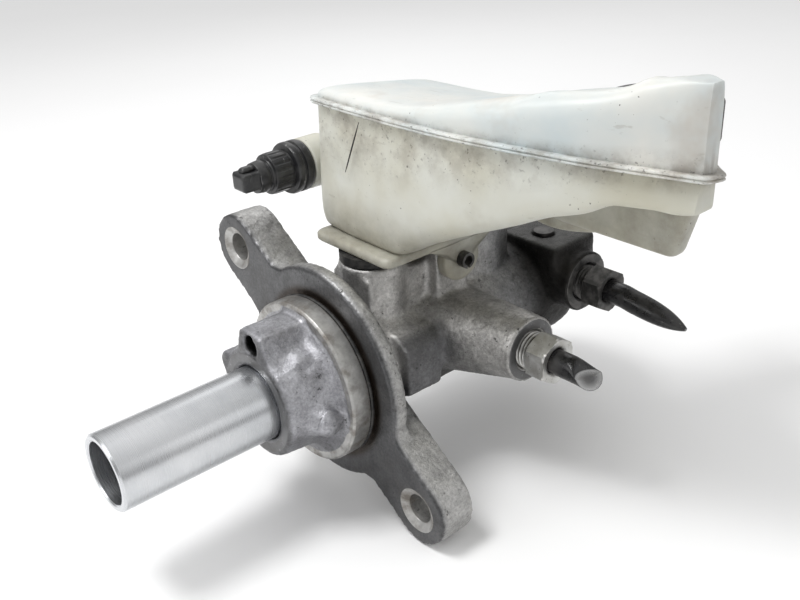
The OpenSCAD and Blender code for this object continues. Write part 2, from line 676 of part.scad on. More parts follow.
// A compression spring along X, as one swept wire
module coil(x0, x1, r, wire_r, turns) {
    steps = 12;
    sides = 6;
    count = steps * turns;
    points = [for (i = [0 : count]) let (a = 360 * i / steps, x = x0 + wire_r + (x1 - x0 - 2 * wire_r)
        * i / count)
        for (k = [0 : sides - 1]) let (b = 360 * k / sides, q = r + wire_r * cos(b))
            [x + wire_r * sin(b), q * cos(a), q * sin(a)]];
    skin = [for (i = [0 : count - 1], k = [0 : sides - 1])
        let (a = i * sides + k, b = i * sides + (k + 1) % sides)
            each [[a, b, b + sides], [a, b + sides, a + sides]]];
    ends = [[for (k = [sides - 1 : -1 : 0]) k], [for (k = [0 : sides - 1]) count * sides + k]];
    polyhedron(points, [for (f = concat(skin, ends)) [for (i = [len(f) - 1 : -1 : 0]) f[i]]],
        convexity = 8);
}

module primary_spring() color("dimgray") coil(1.3, floating_back_x - 0.1, 6.8, 0.9, 7);

module floating_spring() color("dimgray") coil(spring_seat_x + 0.1, bore_depth - 0.1, 6.1, 0.9, 5);

cylinder_body();
guide_bush();
primary_outer_seal();
primary_pressure_seal();
spigot_o_ring();
stop_pin();
boss_plug();
primary_grommet();
floating_grommet();
reservoir_lower();
reservoir_upper();
reservoir_pin();
level_sensor();
sensor_seal();
filler_strainer();
tube_nut_front();
tube_nut_rear();
brake_pipe_front();
brake_pipe_rear();
primary_piston();
spring_sleeve();
primary_spring();
floating_piston();
captive_screw();
floating_rear_seal();
floating_front_seal();
floating_spring();
cap_gasket();
filler_cap();
level_float();
float_magnet();
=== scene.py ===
"""Looks of a tandem brake master cylinder: cast body, moulded tank, nuts, pipes, sensor, cap and finishes."""

import json
import math

import bmesh
import bpy
import numpy as np
from bpy.props import FloatProperty, FloatVectorProperty, PointerProperty
from mathutils import Matrix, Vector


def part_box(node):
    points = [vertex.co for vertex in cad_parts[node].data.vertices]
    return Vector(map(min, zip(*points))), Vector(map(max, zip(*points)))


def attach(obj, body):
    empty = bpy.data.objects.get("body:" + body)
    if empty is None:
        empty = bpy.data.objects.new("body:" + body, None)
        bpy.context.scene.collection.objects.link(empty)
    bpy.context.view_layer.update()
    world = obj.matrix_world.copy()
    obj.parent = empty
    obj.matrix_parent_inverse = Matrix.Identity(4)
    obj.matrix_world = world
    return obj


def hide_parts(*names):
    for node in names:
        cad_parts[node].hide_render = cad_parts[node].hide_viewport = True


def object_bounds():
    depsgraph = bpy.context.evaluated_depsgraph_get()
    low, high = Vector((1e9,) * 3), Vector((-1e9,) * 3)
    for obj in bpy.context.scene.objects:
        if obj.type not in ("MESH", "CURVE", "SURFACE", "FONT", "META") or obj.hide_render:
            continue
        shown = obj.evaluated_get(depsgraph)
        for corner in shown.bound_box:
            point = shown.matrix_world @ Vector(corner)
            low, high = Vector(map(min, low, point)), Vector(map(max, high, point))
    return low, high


bl_info = {
    "name": "Brake master cylinder looks",
    "version": (1, 0, 0),
    "blender": (4, 5, 0),
    "location": "3D View > Sidebar > Cylinder",
    "description": "Builds the visible pieces and finishes of a brake master cylinder around its frame",
    "category": "Object",
}

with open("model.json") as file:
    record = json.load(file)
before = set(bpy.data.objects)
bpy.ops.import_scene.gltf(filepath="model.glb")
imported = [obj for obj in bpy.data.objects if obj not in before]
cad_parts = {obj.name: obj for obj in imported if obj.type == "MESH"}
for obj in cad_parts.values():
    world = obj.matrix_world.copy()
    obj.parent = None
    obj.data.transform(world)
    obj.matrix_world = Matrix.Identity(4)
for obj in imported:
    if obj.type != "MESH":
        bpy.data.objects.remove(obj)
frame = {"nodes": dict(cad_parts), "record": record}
CAD_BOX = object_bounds()
MM = 0.001


def node_box(node):
    """Lowest and highest corner of a CAD node, in millimetres."""
    low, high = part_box(node)
    return np.array(low) / MM, np.array(high) / MM


def centre_of(node):
    """Middle of a CAD node's box, in millimetres."""
    low, high = node_box(node)
    return (low + high) / 2


def mount(name):
    """The record's mount of that name."""
    return next(m for m in frame["record"]["mounts"] if m["name"] == name)


# ---------------------------------------------------------------- mesh helpers


def grid_faces(rows, cols, close_rows=False, close_cols=False):
    """Quads joining neighbouring points of a rows by cols grid, closed round in either way if asked."""
    r = np.arange(rows if close_rows else rows - 1)[:, None]
    c = np.arange(cols if close_cols else cols - 1)[None, :]
    r1, c1 = (r + 1) % rows, (c + 1) % cols
    return np.stack([r * cols + c, r * cols + c1, r1 * cols + c1, r1 * cols + c], -1).reshape(-1, 4)


def round_angles(count):
    """Angles spaced evenly round a full turn."""
    return np.linspace(0, 2 * np.pi, count, endpoint=False)


def at_height(line, z):
    """A flat outline set at a height."""
    return np.column_stack([line, np.full(len(line), z)])


def rounded(points, radius, steps=4, closed=False):
    """Points of an outline with each corner replaced by a curve that starts and ends radius away, or at most
    0.45 of the shorter neighbour: the blend of the corner and its two ends by the squares of their shares."""
    p = np.asarray(points, float)
    n = len(p)
    out = []
    for i in range(n):
        if not closed and i in (0, n - 1):
            out.append(p[i])
            continue
        before, after = p[i - 1] - p[i], p[(i + 1) % n] - p[i]
        a, b = np.linalg.norm(before), np.linalg.norm(after)
        reach = min(radius, 0.45 * a, 0.45 * b)
        start, end = p[i] + before / a * reach, p[i] + after / b * reach
        for t in np.linspace(0, 1, steps + 1):
            out.append((1 - t) ** 2 * start + 2 * t * (1 - t) * p[i] + t * t * end)
    return np.array(out)


def smooth_rows(stations, at):
    """Values of the stations' columns at the places asked for, on a curve that never passes beyond them:
    cubic pieces whose slopes are the harmonic mean of the neighbouring slopes, or nothing at a turn."""
    stations = np.asarray(stations, float)
    x, v = stations[:, 0], stations[:, 1:]
    h = np.diff(x)[:, None]
    slope = np.diff(v, axis=0) / h
    inner = np.where(slope[1:] * slope[:-1] > 0,
                     2 * slope[1:] * slope[:-1] / (slope[1:] + slope[:-1] + 1e-12), 0)
    m = np.vstack([slope[:1], inner, slope[-1:]])
    i = np.clip(np.searchsorted(x, at) - 1, 0, len(x) - 2)
    t = ((at - x[i]) / h[i, 0])[:, None]
    return ((2 * t**3 - 3 * t**2 + 1) * v[i] + (t**3 - 2 * t**2 + t) * h[i] * m[i]
            + (3 * t**2 - 2 * t**3) * v[i + 1] + (t**3 - t**2) * h[i] * m[i + 1])


def step(a, b, value):
    """0 up to a, 1 from b, and a smooth cubic rise between them. It falls where a is the greater."""
    t = np.clip((value - a) / (b - a), 0, 1)
    return t * t * (3 - 2 * t)


def bump(p, centre, reach):
    """A round hill of height 1 at centre, falling as the bell curve of the distance over reach."""
    d = (p - np.asarray(centre, float)) / np.asarray(reach, float)
    return np.exp(-(d * d).sum(-1))


def store(mesh, name, values):
    """Keeps a value for each point of a mesh."""
    layer = mesh.attributes.new(name, "FLOAT", "POINT")
    layer.data.foreach_set("value", np.asarray(values, np.float32))


def read(items, field, width, kind=float):
    """A field of a mesh's points or edges as rows of that width."""
    values = np.zeros(len(items) * width, kind)
    items.foreach_get(field, values)
    return values.reshape(-1, width)


def clean(mesh, angle):
    """Joins points that coincide, turns the faces outwards and keeps edges sharper than angle crisp."""
    work = bmesh.new()
    work.from_mesh(mesh)
    bmesh.ops.remove_doubles(work, verts=work.verts, dist=2e-6)
    bmesh.ops.dissolve_degenerate(work, edges=work.edges, dist=1e-7)
    bmesh.ops.recalc_face_normals(work, faces=work.faces)
    work.to_mesh(mesh)
    work.free()
    mesh.shade_smooth()
    mesh.set_sharp_from_angle(angle=math.radians(angle))
    mesh.update()


def add_piece(name, points, faces, body, material, replaces=(), angle=35):
    """A mesh piece from points in millimetres, riding on a body and wearing a slot's finish."""
    mesh = bpy.data.meshes.new(name)
    mesh.from_pydata((np.asarray(points, float).reshape(-1, 3) * MM).tolist(), [],
                     [list(map(int, f)) for f in faces])
    clean(mesh, angle)
    piece = bpy.data.objects.new(name, mesh)
    bpy.context.scene.collection.objects.link(piece)
    mesh.materials.append(material)
    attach(piece, body)
    if replaces:
        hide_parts(*replaces)
    return piece


def lathe_points(profile, centre, axis, sides=128, ripple=None):
    """A surface of revolution: each profile point (distance along the axis, radius) swept round the axis.
    ripple adds to the radius as a function of the distances along and the angles."""
    profile = np.asarray(profile, float)
    turn = round_angles(sides)[None, :]
    along = profile[:, :1] + 0 * turn
    radius = profile[:, 1:] + 0 * turn
    if ripple is not None:
        radius = np.maximum(radius + ripple(along, turn, radius), 0)
    u, v = radius * np.cos(turn), radius * np.sin(turn)
    cx, cy, cz = centre
    if axis == "x":
        p = [cx + along, cy + u, cz + v]
    elif axis == "-y":
        p = [cx + u, cy - along, cz + v]
    else:
        p = [cx + u, cy + v, cz + along]
    return np.stack(p, -1), grid_faces(len(profile), sides, close_cols=True)


def lathe_piece(name, profile, centre, axis, body, slot, material, replaces=(), soft=0.3, sides=128,
                ripple=None, closed=False):
    """A turned piece with its profile's corners softened. A closed profile joins its last point to its
    first."""
    line = rounded(profile, soft, 3, closed)
    if closed:
        line = np.vstack([line, line[:1]])
    points, faces = lathe_points(line, centre, axis, sides, ripple)
    return add_piece(name, points, faces, body, material, replaces)


def loft_piece(name, outlines, body, slot, material, angle=35):
    """A closed piece through outlines of equal length, with its first and last outlines filled in towards
    their middles by smaller copies."""
    rows = [np.asarray(o, float) for o in outlines]
    first, last = rows[0], rows[-1]
    inward = [first.mean(0) + (first - first.mean(0)) * s for s in (0, 0.4, 0.8)]
    outward = [last.mean(0) + (last - last.mean(0)) * s for s in (0.8, 0.4, 0)]
    rows = np.array(inward + rows + outward)
    faces = grid_faces(*rows.shape[:2], close_cols=True)
    return add_piece(name, rows, faces, body, material, (), angle)


def rounded_box(name, low, high, radius, body, slot, material):
    """A box with rounded corners: a rounded outline drawn in by a quarter turn at the bottom and the top."""
    low, high = np.asarray(low, float), np.asarray(high, float)
    rows = []
    for z, draw in [(low[2], 1), (low[2] + 0.3, 0.45), (low[2] + 0.7, 0.12), (low[2] + 1, 0),
                    (high[2] - 1, 0), (high[2] - 0.7, 0.12), (high[2] - 0.3, 0.45), (high[2], 1)]:
        inset = draw * min(radius, 1)
        x0, y0, x1, y1 = low[0] + inset, low[1] + inset, high[0] - inset, high[1] - inset
        line = rounded([[x0, y0], [x1, y0], [x1, y1], [x0, y1]], radius, 6, True)
        rows.append(at_height(line, z))
    return loft_piece(name, rows, body, slot, material)


# ---------------------------------------------------------------- finishes


class Finish:
    """Builds one material's nodes. Every pattern is laid out in the object's own metres."""

    def __init__(self, name, metallic=0.0, roughness=0.5, ior=1.5, subsurface=0.0, reach=0.004):
        self.material = bpy.data.materials.new("look_" + name)
        self.material.use_nodes = True
        self.tree = self.material.node_tree
        self.shader = self.tree.nodes["Principled BSDF"]
        for socket, value in (("Metallic", metallic), ("Roughness", roughness), ("IOR", ior),
                              ("Subsurface Weight", subsurface), ("Subsurface Radius", (1.0, 0.95, 0.85)),
                              ("Subsurface Scale", reach)):
            self.shader.inputs[socket].default_value = value
        self.place = self.tree.nodes.new("ShaderNodeTexCoord").outputs["Object"]

    def link(self, source, socket):
        """Feeds a socket, or sets it where the source is a plain number."""
        if isinstance(source, (int, float)):
            socket.default_value = source
        else:
            self.tree.links.new(source, socket)

    def stretched(self, scale):
        """The place with each axis multiplied, for streaks and turned lines."""
        node = self.tree.nodes.new("ShaderNodeMapping")
        node.inputs["Scale"].default_value = scale
        self.link(self.place, node.inputs["Vector"])
        return node.outputs["Vector"]

    def noise(self, per_metre, detail=4, rough=0.6, stretch=None):
        """Cloudy values around a half, per_metre lumps to the metre."""
        node = self.tree.nodes.new("ShaderNodeTexNoise")
        node.inputs["Scale"].default_value = per_metre
        node.inputs["Detail"].default_value = detail
        node.inputs["Roughness"].default_value = rough
        self.link(self.stretched(stretch) if stretch else self.place, node.inputs["Vector"])
        return node.outputs["Fac"]

    def math(self, how, a, b):
        """One step of arithmetic."""
        node = self.tree.nodes.new("ShaderNodeMath")
        node.operation = how
        self.link(a, node.inputs[0])
        self.link(b, node.inputs[1])
        return node.outputs[0]

    def times(self, a, b):
        """Two values multiplied."""
        return self.math("MULTIPLY", a, b)

    def between(self, value, low, high, out_low=0.0, out_high=1.0):
        """value rescaled from low..high to the two outputs, and held there."""
        node = self.tree.nodes.new("ShaderNodeMapRange")
        for socket, number in zip(node.inputs[1:5], (low, high, out_low, out_high)):
            socket.default_value = number
        self.link(value, node.inputs[0])
        return node.outputs[0]

    def colour(self, share, first, second):
        """A blend from the first colour to the second."""
        node = self.tree.nodes.new("ShaderNodeMix")
        node.data_type = "RGBA"
        self.link(share, node.inputs[0])
        for socket, source in ((node.inputs[6], first), (node.inputs[7], second)):
            if isinstance(source, tuple):
                socket.default_value = (*source, 1.0)
            else:
                self.link(source, socket)
        return node.outputs[2]

    def over(self, colour, share, amount, top):
        """A colour with another laid over it by the share times the amount."""
        return self.colour(self.times(share, amount), colour, top)

    def product(self, first, second):
        """Two colours multiplied."""
        node = self.tree.nodes.new("ShaderNodeMix")
        node.data_type = "RGBA"
        node.blend_type = "MULTIPLY"
        node.inputs[0].default_value = 1.0
        self.link(first, node.inputs[6])
        self.link(second, node.inputs[7])
        return node.outputs[2]

    def attribute(self, name, output="Fac"):
        """A value stored on the piece's own points."""
        node = self.tree.nodes.new("ShaderNodeAttribute")
        node.attribute_name = name
        return node.outputs[output]

    def finish(self, colour=None, roughness=None, height=None, lift=0.0001, metallic=None, strength=0.5):
        """Joins the colour, roughness and relief to the shader."""
        if colour is not None:
            self.link(colour, self.shader.inputs["Base Color"])
        if roughness is not None:
            self.link(roughness, self.shader.inputs["Roughness"])
        if metallic is not None:
            self.link(metallic, self.shader.inputs["Metallic"])
        if height is not None:
            node = self.tree.nodes.new("ShaderNodeBump")
            node.inputs["Strength"].default_value = strength
            node.inputs["Distance"].default_value = lift
            self.link(height, node.inputs["Height"])
            self.link(node.outputs["Normal"], self.shader.inputs["Normal"])
        return self.material


def cast_aluminium():
    """Sand-cast skin: grain, small pits, grease and paler rubbed places, tinted by the piece's own points,
    which also carry painted shade on the nose's lower side, the barrel's underside and inside the vent.
    """
    f = Finish("cast_aluminium")
    # The stored tone holds the casting's own colours and also painted shade: darkened undersides and a black
    # vent bore.
    tone_and_shade = f.attribute("tone_and_shade", "Color")
    machined = f.attribute("machined")
    grime = f.between(f.noise(60, 6, 0.65), 0.5, 0.74)
    fine = f.noise(1100, 4, 0.75)
    pores = f.times(f.between(f.noise(620, 5, 0.75), 0.59, 0.66), f.between(f.noise(110, 3), 0.42, 0.58))
    cloud = f.colour(f.between(f.noise(170, 6, 0.7), 0.3, 0.7), (0.70, 0.70, 0.70), (1.22, 1.22, 1.22))
    sparkle = f.colour(f.between(fine, 0.35, 0.68), (0.78, 0.78, 0.78), (1.25, 1.25, 1.25))
    colour = f.product(f.product(tone_and_shade, cloud), sparkle)
    colour = f.over(colour, grime, 0.6, (0.045, 0.042, 0.038))
    colour = f.over(colour, pores, 0.8, (0.018, 0.017, 0.016))
    skin = f.math("SUBTRACT", 1.0, f.times(machined, 0.9))
    grain = f.times(f.math("ADD", fine, f.times(f.noise(420, 4, 0.7), 1.3)), skin)
    grain = f.math("SUBTRACT", grain, f.times(pores, 0.4))
    rough = f.math("ADD", f.times(grime, 0.18), f.math("SUBTRACT", 0.44, f.times(machined, 0.06)))
    return f.finish(colour, rough, grain, 0.00035, f.between(grime, 0, 1, 0.85, 0.4), 0.6)


def turned_aluminium():
    """Bright turned metal: fine rings round the bore and faint clouds."""
    f = Finish("bright_aluminium", metallic=1.0)
    rings = f.noise(1, 2, 0.6, (4200, 12, 12))
    cloud = f.noise(45, 4)
    colour = f.colour(f.between(cloud, 0.35, 0.65), (0.55, 0.565, 0.585), (0.68, 0.69, 0.705))
    scratch = f.between(f.noise(1, 2, 0.5, (50, 1100, 1100)), 0.7, 0.73)
    colour = f.over(colour, scratch, 0.2, (0.25, 0.25, 0.26))
    return f.finish(colour, f.between(rings, 0.3, 0.7, 0.24, 0.34), rings, 0.000012, strength=0.25)


def machined_ring():
    """Cut face of the casting: turned lines, with dull and brown stains."""
    f = Finish("machined_face", metallic=0.85)
    lines = f.noise(1, 3, 0.7, (5000, 90, 90))
    stain = f.between(f.noise(130, 5, 0.65), 0.46, 0.66)
    colour = f.colour(f.between(f.noise(300, 4), 0.35, 0.65), (0.36, 0.355, 0.345), (0.52, 0.515, 0.50))
    colour = f.over(colour, stain, 0.7, (0.13, 0.105, 0.08))
    return f.finish(colour, f.between(stain, 0, 1, 0.42, 0.65), lines, 0.00006, strength=0.4)


def flange_face_metal():
    """Dark milled face of the flange, with crossing tool marks."""
    f = Finish("flange_face", metallic=0.75)
    marks = f.noise(1, 4, 0.7, (200, 900, 2600))
    blot = f.between(f.noise(80, 5), 0.42, 0.7)
    colour = f.colour(blot, (0.20, 0.20, 0.205), (0.10, 0.098, 0.095))
    colour = f.over(colour, f.between(f.noise(1300, 2), 0.66, 0.7), 0.6, (0.40, 0.40, 0.40))
    return f.finish(colour, f.between(marks, 0.3, 0.7, 0.4, 0.55), marks, 0.00005, strength=0.35)


def zinc_steel():
    """Zinc-plated steel, dulled and scuffed, with painted shade where the nut's points are marked: its
    thread's grooves, neck and bore.
    """
    f = Finish("zinc_steel", metallic=0.9)
    cloud = f.noise(350, 5)
    colour = f.colour(f.between(cloud, 0.35, 0.68), (0.50, 0.49, 0.46), (0.68, 0.68, 0.67))
    colour = f.over(colour, f.between(f.noise(700, 4, 0.7), 0.6, 0.7), 0.7, (0.13, 0.11, 0.09))
    # Painted shade: the marked grooves, neck and bore are darkened.
    colour = f.over(colour, f.attribute("painted_groove_shade"), 0.85, (0.05, 0.045, 0.04))
    return f.finish(colour, f.between(cloud, 0.3, 0.7, 0.3, 0.5), f.noise(1600, 4), 0.0001, strength=0.4)


def dark_steel():
    """Blackened steel clouded with greasy dust."""
    f = Finish("dark_steel", metallic=0.7)
    cloud = f.noise(260, 5)
    colour = f.colour(f.between(cloud, 0.4, 0.66), (0.045, 0.044, 0.042), (0.17, 0.165, 0.16))
    return f.finish(colour, f.between(cloud, 0.3, 0.7, 0.34, 0.6), f.noise(1400, 4), 0.00012, strength=0.4)


def pipe_coat():
    """Black coat over steel: gloss, dust and scrapes, bare metal where the piece's points say so."""
    f = Finish("pipe_coat")
    bare = f.attribute("bare")
    dust = f.between(f.noise(180, 5), 0.48, 0.7)
    scrape = f.between(f.noise(1, 3, 0.6, (900, 90, 900)), 0.62, 0.68)
    colour = f.over((0.012, 0.012, 0.013), dust, 0.35, (0.10, 0.095, 0.09))
    colour = f.over(colour, scrape, 0.3, (0.22, 0.21, 0.20))
    colour = f.colour(bare, colour, (0.62, 0.62, 0.62))
    rough = f.colour(bare, f.between(dust, 0, 1, 0.26, 0.55), (0.22, 0.22, 0.22))
    return f.finish(colour, rough, f.noise(700, 4), 0.00015, bare, 0.35)


def milky_plastic(name, upper):
    """Moulded translucent plastic: yellowed below the seam and bluish white above it, with brown stains, dark
    specks and grime that gathers along the seam, and painted shade with some grime towards the tank's foot and
    under its far overhang."""
    f = Finish(name, roughness=0.4, ior=1.45, subsurface=0.35, reach=0.006)
    seam = f.attribute("near_seam")
    low = f.attribute("foot")
    broad, fine = f.noise(28, 4, 0.55), f.noise(160, 5, 0.65)
    if upper:
        base = f.colour(f.between(broad, 0.38, 0.66), (0.55, 0.605, 0.61), (0.72, 0.71, 0.66))
        stain, stain_share = (0.40, 0.31, 0.23), 0.6
    else:
        base = f.colour(f.between(broad, 0.38, 0.66), (0.60, 0.605, 0.55), (0.50, 0.48, 0.385))
        stain, stain_share = (0.30, 0.26, 0.18), 0.55
    patch = f.times(f.between(f.noise(24, 5, 0.6), 0.54, 0.7), stain_share)
    colour = f.colour(patch, base, stain)
    # Painted shade, with some grime: darker brown towards the tank's foot and under its far overhang, mottled.
    colour = f.colour(f.times(low, f.between(fine, 0.3, 0.7, 0.4, 0.9)), colour, (0.22, 0.205, 0.165))
    grime = f.times(seam, f.between(fine, 0.42, 0.62))
    colour = f.over(colour, grime, 0.6, (0.20, 0.17, 0.14))
    speck = f.times(f.between(f.noise(1000, 2, 0.5), 0.71, 0.74), f.between(f.noise(60, 3), 0.45, 0.6))
    crowd = f.times(seam, f.between(f.noise(800, 3, 0.6), 0.62, 0.68))
    colour = f.colour(f.math("MAXIMUM", f.times(speck, 0.9), f.times(crowd, 0.7)), colour,
                      (0.035, 0.03, 0.026))
    streak = f.between(f.noise(1, 3, 0.6, (420, 70, 420)), 0.66, 0.72)
    colour = f.over(colour, streak, 0.3, (0.30, 0.27, 0.22))
    return f.finish(colour, f.between(fine, 0.3, 0.7, 0.28, 0.5), f.math("ADD", broad, f.times(fine, 0.3)),
                    0.0008, strength=0.3)


def black_plastic():
    """Moulded black plastic with dust and scuffs."""
    f = Finish("black_plastic", roughness=0.4)
    dust = f.between(f.noise(140, 5), 0.47, 0.72)
    colour = f.over((0.012, 0.012, 0.013), dust, 0.4, (0.13, 0.13, 0.125))
    scuff = f.between(f.noise(1, 3, 0.6, (700, 500, 90)), 0.65, 0.7)
    colour = f.over(colour, scuff, 0.5, (0.30, 0.30, 0.30))
    return f.finish(colour, f.between(dust, 0, 1, 0.28, 0.55), f.noise(1600, 3), 0.00008, strength=0.35)


def white_plastic():
    """White moulded plastic, faintly yellowed."""
    f = Finish("white_plastic", roughness=0.45, subsurface=0.1, reach=0.002)
    colour = f.colour(f.between(f.noise(90, 4), 0.35, 0.7), (0.82, 0.82, 0.79), (0.70, 0.66, 0.55))
    return f.finish(colour, None, f.noise(1500, 3), 0.00005, strength=0.3)


def plain(name, metallic, cloud, shares, colours, dull, roughness, grain, lift, strength=0.5):
    """An even finish: a clouded colour, a clouded roughness and a fine grain."""
    f = Finish(name, metallic=metallic)
    colour = f.colour(f.between(f.noise(*cloud), *shares), *colours)
    rough = f.between(f.noise(*dull), 0.3, 0.7, *roughness)
    return f.finish(colour, rough, f.noise(*grain), lift, strength=strength)


MAKERS = {
    "cast_aluminium": cast_aluminium, "bright_aluminium": turned_aluminium, "zinc_steel": zinc_steel,
    "dark_steel": dark_steel, "pipe_coat": pipe_coat, "black_plastic": black_plastic,
    "white_plastic": white_plastic,
    "milky_lower": lambda: milky_plastic("milky_lower", False),
    "milky_upper": lambda: milky_plastic("milky_upper", True),
    "machined_face": machined_ring, "flange_face": flange_face_metal,
    "rubber": lambda: plain("rubber", 0.0, (300, 5), (0.45, 0.7), ((0.012,) * 3, (0.07, 0.066, 0.06)),
                            (500, 4), (0.48, 0.72), (2000, 3), 0.00008, 0.4),
    "spring_steel": lambda: plain("spring_steel", 0.9, (300, 4), (0.4, 0.65),
                                  ((0.16, 0.16, 0.17), (0.34, 0.34, 0.35)),
                                  (600, 4), (0.25, 0.42), (2500, 2), 0.00004),
    "magnet": lambda: plain("magnet", 0.3, (500, 4), (0.4, 0.65), ((0.06, 0.06, 0.065), (0.13, 0.13, 0.13)),
                            (900, 3), (0.5, 0.7), (2500, 3), 0.0001),
}


def finish_of(name):
    """The material of that name, made the first time it is asked for."""
    return bpy.data.materials.get("look_" + name) or MAKERS[name]()


# ---------------------------------------------------------------- sizes and colours


class CylinderSizes(bpy.types.PropertyGroup):
    """Sizes and colours that a user may change."""

    voxel: FloatProperty(name="Casting voxel", description="Grain of the softened casting", default=0.00085,
                         unit="LENGTH")
    tank_wall: FloatProperty(name="Tank wall", description="Thickness of the moulded tank", default=0.0022,
                             unit="LENGTH")
    thread_pitch: FloatProperty(name="Thread pitch", description="Pitch of the tube nuts' threads",
                                default=0.00125, unit="LENGTH")
    cap_ribs: FloatProperty(name="Cap ribs", description="Number of grip ribs round the filler cap",
                            default=36)
    floor_colour: FloatVectorProperty(name="Floor", description="Colour of the floor", subtype="COLOR",
                                      size=3, default=(0.97, 0.97, 0.97), min=0, max=1)


# ---------------------------------------------------------------- casting

NUT_FRONT, NUT_REAR = node_box("tube_nut_front"), node_box("tube_nut_rear")
HEX_LENGTH = 7  # of a nut's hexagon
STAND_OFF = 3.2  # from the boss's face to the hexagon
THREAD_LENGTH = 7  # inside the boss
VENT_HEIGHT = 18.45  # of the vent in the nose over the bore's axis


def nut_axis(nut):
    """Place of a nut's axis along the bore and over it."""
    return (nut[0][0] + nut[1][0]) / 2, (nut[0][2] + nut[1][2]) / 2


def stud_holes():
    """The two stud holes' centres as y and z: half the bolt spacing either way from the bore, on the line
    through the record's point on the flange's face."""
    spacing = mount("flange_studs")["dims"]["pcd_mm"]
    face = mount("flange_face")["pos_m"]
    angle = math.atan2(face[2], face[1])
    return [(s * spacing / 2 * math.cos(angle), s * spacing / 2 * math.sin(angle)) for s in (-1, 1)]


def paint_casting(mesh, points, cut):
    """Stores each point's colour and how far it is machined: pale saddle, bright nose, black rear boss and
    dark flange face, with painted shade on the nose's lower side, the barrel's underside and inside the vent's
    bore."""
    x, y, z = points.T
    radius = np.hypot(y, z)
    tone_and_shade = np.full((len(points), 3), 0.30) * [1.0, 1.0, 1.01]

    def lay(share, colour):
        tone_and_shade[:] = tone_and_shade + (np.array(colour) - tone_and_shade) * np.clip(share, 0, 1)[:, None]

    lay(step(-6, -9, x), (0.42, 0.42, 0.445))
    # Painted shade: the nose's lower side darkened.
    lay(step(-6, -9, x) * step(4, -14, z) * 0.6, (0.16, 0.16, 0.17))
    lay(step(-22.4, -23.4, x), (0.17, 0.17, 0.175))
    vent = np.hypot(y, z - VENT_HEIGHT)
    # Painted shade: the vent's bore inside the nose painted black.
    lay(step(3.5, 3.0, vent) * step(-23.3, -22.9, x) * step(-8, -10, x), (0.008, 0.008, 0.008))
    lay(step(8, 16, x) * step(66, 50, x) * step(-14, 6, z), (0.50, 0.49, 0.475))
    # Painted shade: the barrel's underside darkened.
    lay(step(6, -12, z) * step(8, 14, x) * step(40, 30, -y), (0.060, 0.059, 0.057))
    lay(step(15, 17, x) * step(34, 30, x) * step(-14, -19, y), (0.17, 0.17, 0.175))
    lay(step(64, 80, x), (0.020, 0.019, 0.018))
    lay(step(66, 80, x) * step(20.5, 21.5, z) * 0.4, (0.16, 0.16, 0.155))
    lay(step(14, 11, x) * step(0.8, 1.8, x) * step(30, 34, radius), (0.46, 0.455, 0.445))
    lay(step(0.9, 0.5, np.abs(x)) * step(24, 26, radius), (0.105, 0.105, 0.108))
    lay(step(-3.2, -1.9, x) * step(1.0, 0.2, x) * step(28.5, 26.2, radius) * step(20, 22, radius),
        (0.035, 0.026, 0.020))
    layer = mesh.attributes.new("tone_and_shade", "FLOAT_COLOR", "POINT")
    layer.data.foreach_set("color", np.column_stack([tone_and_shade, np.ones(len(points))]).astype(np.float32).ravel())
    store(mesh, "machined", cut)


def soften(points, edges, free, rounds, share=0.5):
    """Moves each point towards the mean of its neighbours, as far as free allows, so that only the cast
    skin's creases are rounded."""
    a, b = edges.T
    count = np.bincount(a, minlength=len(points)) + np.bincount(b, minlength=len(points))
    for _ in range(rounds):
        mean = np.stack([np.bincount(a, points[b, k], len(points)) + np.bincount(b, points[a, k], len(points))
                         for k in range(3)], -1) / np.maximum(count, 1)[:, None]
        points = points + (mean - points) * (free * share)[:, None]
    return points


def machined_share(points):
    """1 where the casting is cut by tools and 0 on its rough skin."""
    x, y, z = points.T
    radius = np.hypot(y, z)
    cut = step(1.5, 1.0, np.abs(x)) * step(24, 25, radius)
    spigot = step(-9.2, -8.8, x) * step(0.5, 0.2, x) * step(21, 22.5, radius) * step(26.5, 26, radius)
    cut = np.maximum(cut, spigot)
    cut = np.maximum(cut, step(14.5, 14, radius))
    for hole_y, hole_z in stud_holes():
        cut = np.maximum(cut, step(8.2, 7.6, np.hypot(y - hole_y, z - hole_z)))
    for nut in (NUT_FRONT, NUT_REAR):
        cx, cz = nut_axis(nut)
        face = nut[1][1] - THREAD_LENGTH
        cut = np.maximum(cut, step(11.2, 10.8, np.hypot(x - cx, z - cz)) * step(face + 2.2, face + 1.4, y))
    return cut


def nose_relief(points):
    """Height added to the nose: a stout lug low on its side, and an oval ring with a hollow on its
    shoulder."""
    lug = 3.2 * np.clip(3.0 * bump(points, (-14.0, -17.4, -2.0), (3.2, 3.6, 3.0)), 0, 1)
    centre = (-14.0, -12.5, 12.5)
    oval = 1.7 * bump(points, centre, (4.0, 3.4, 3.4)) - 1.8 * bump(points, centre, (2.2, 1.8, 1.8))
    return lug + oval


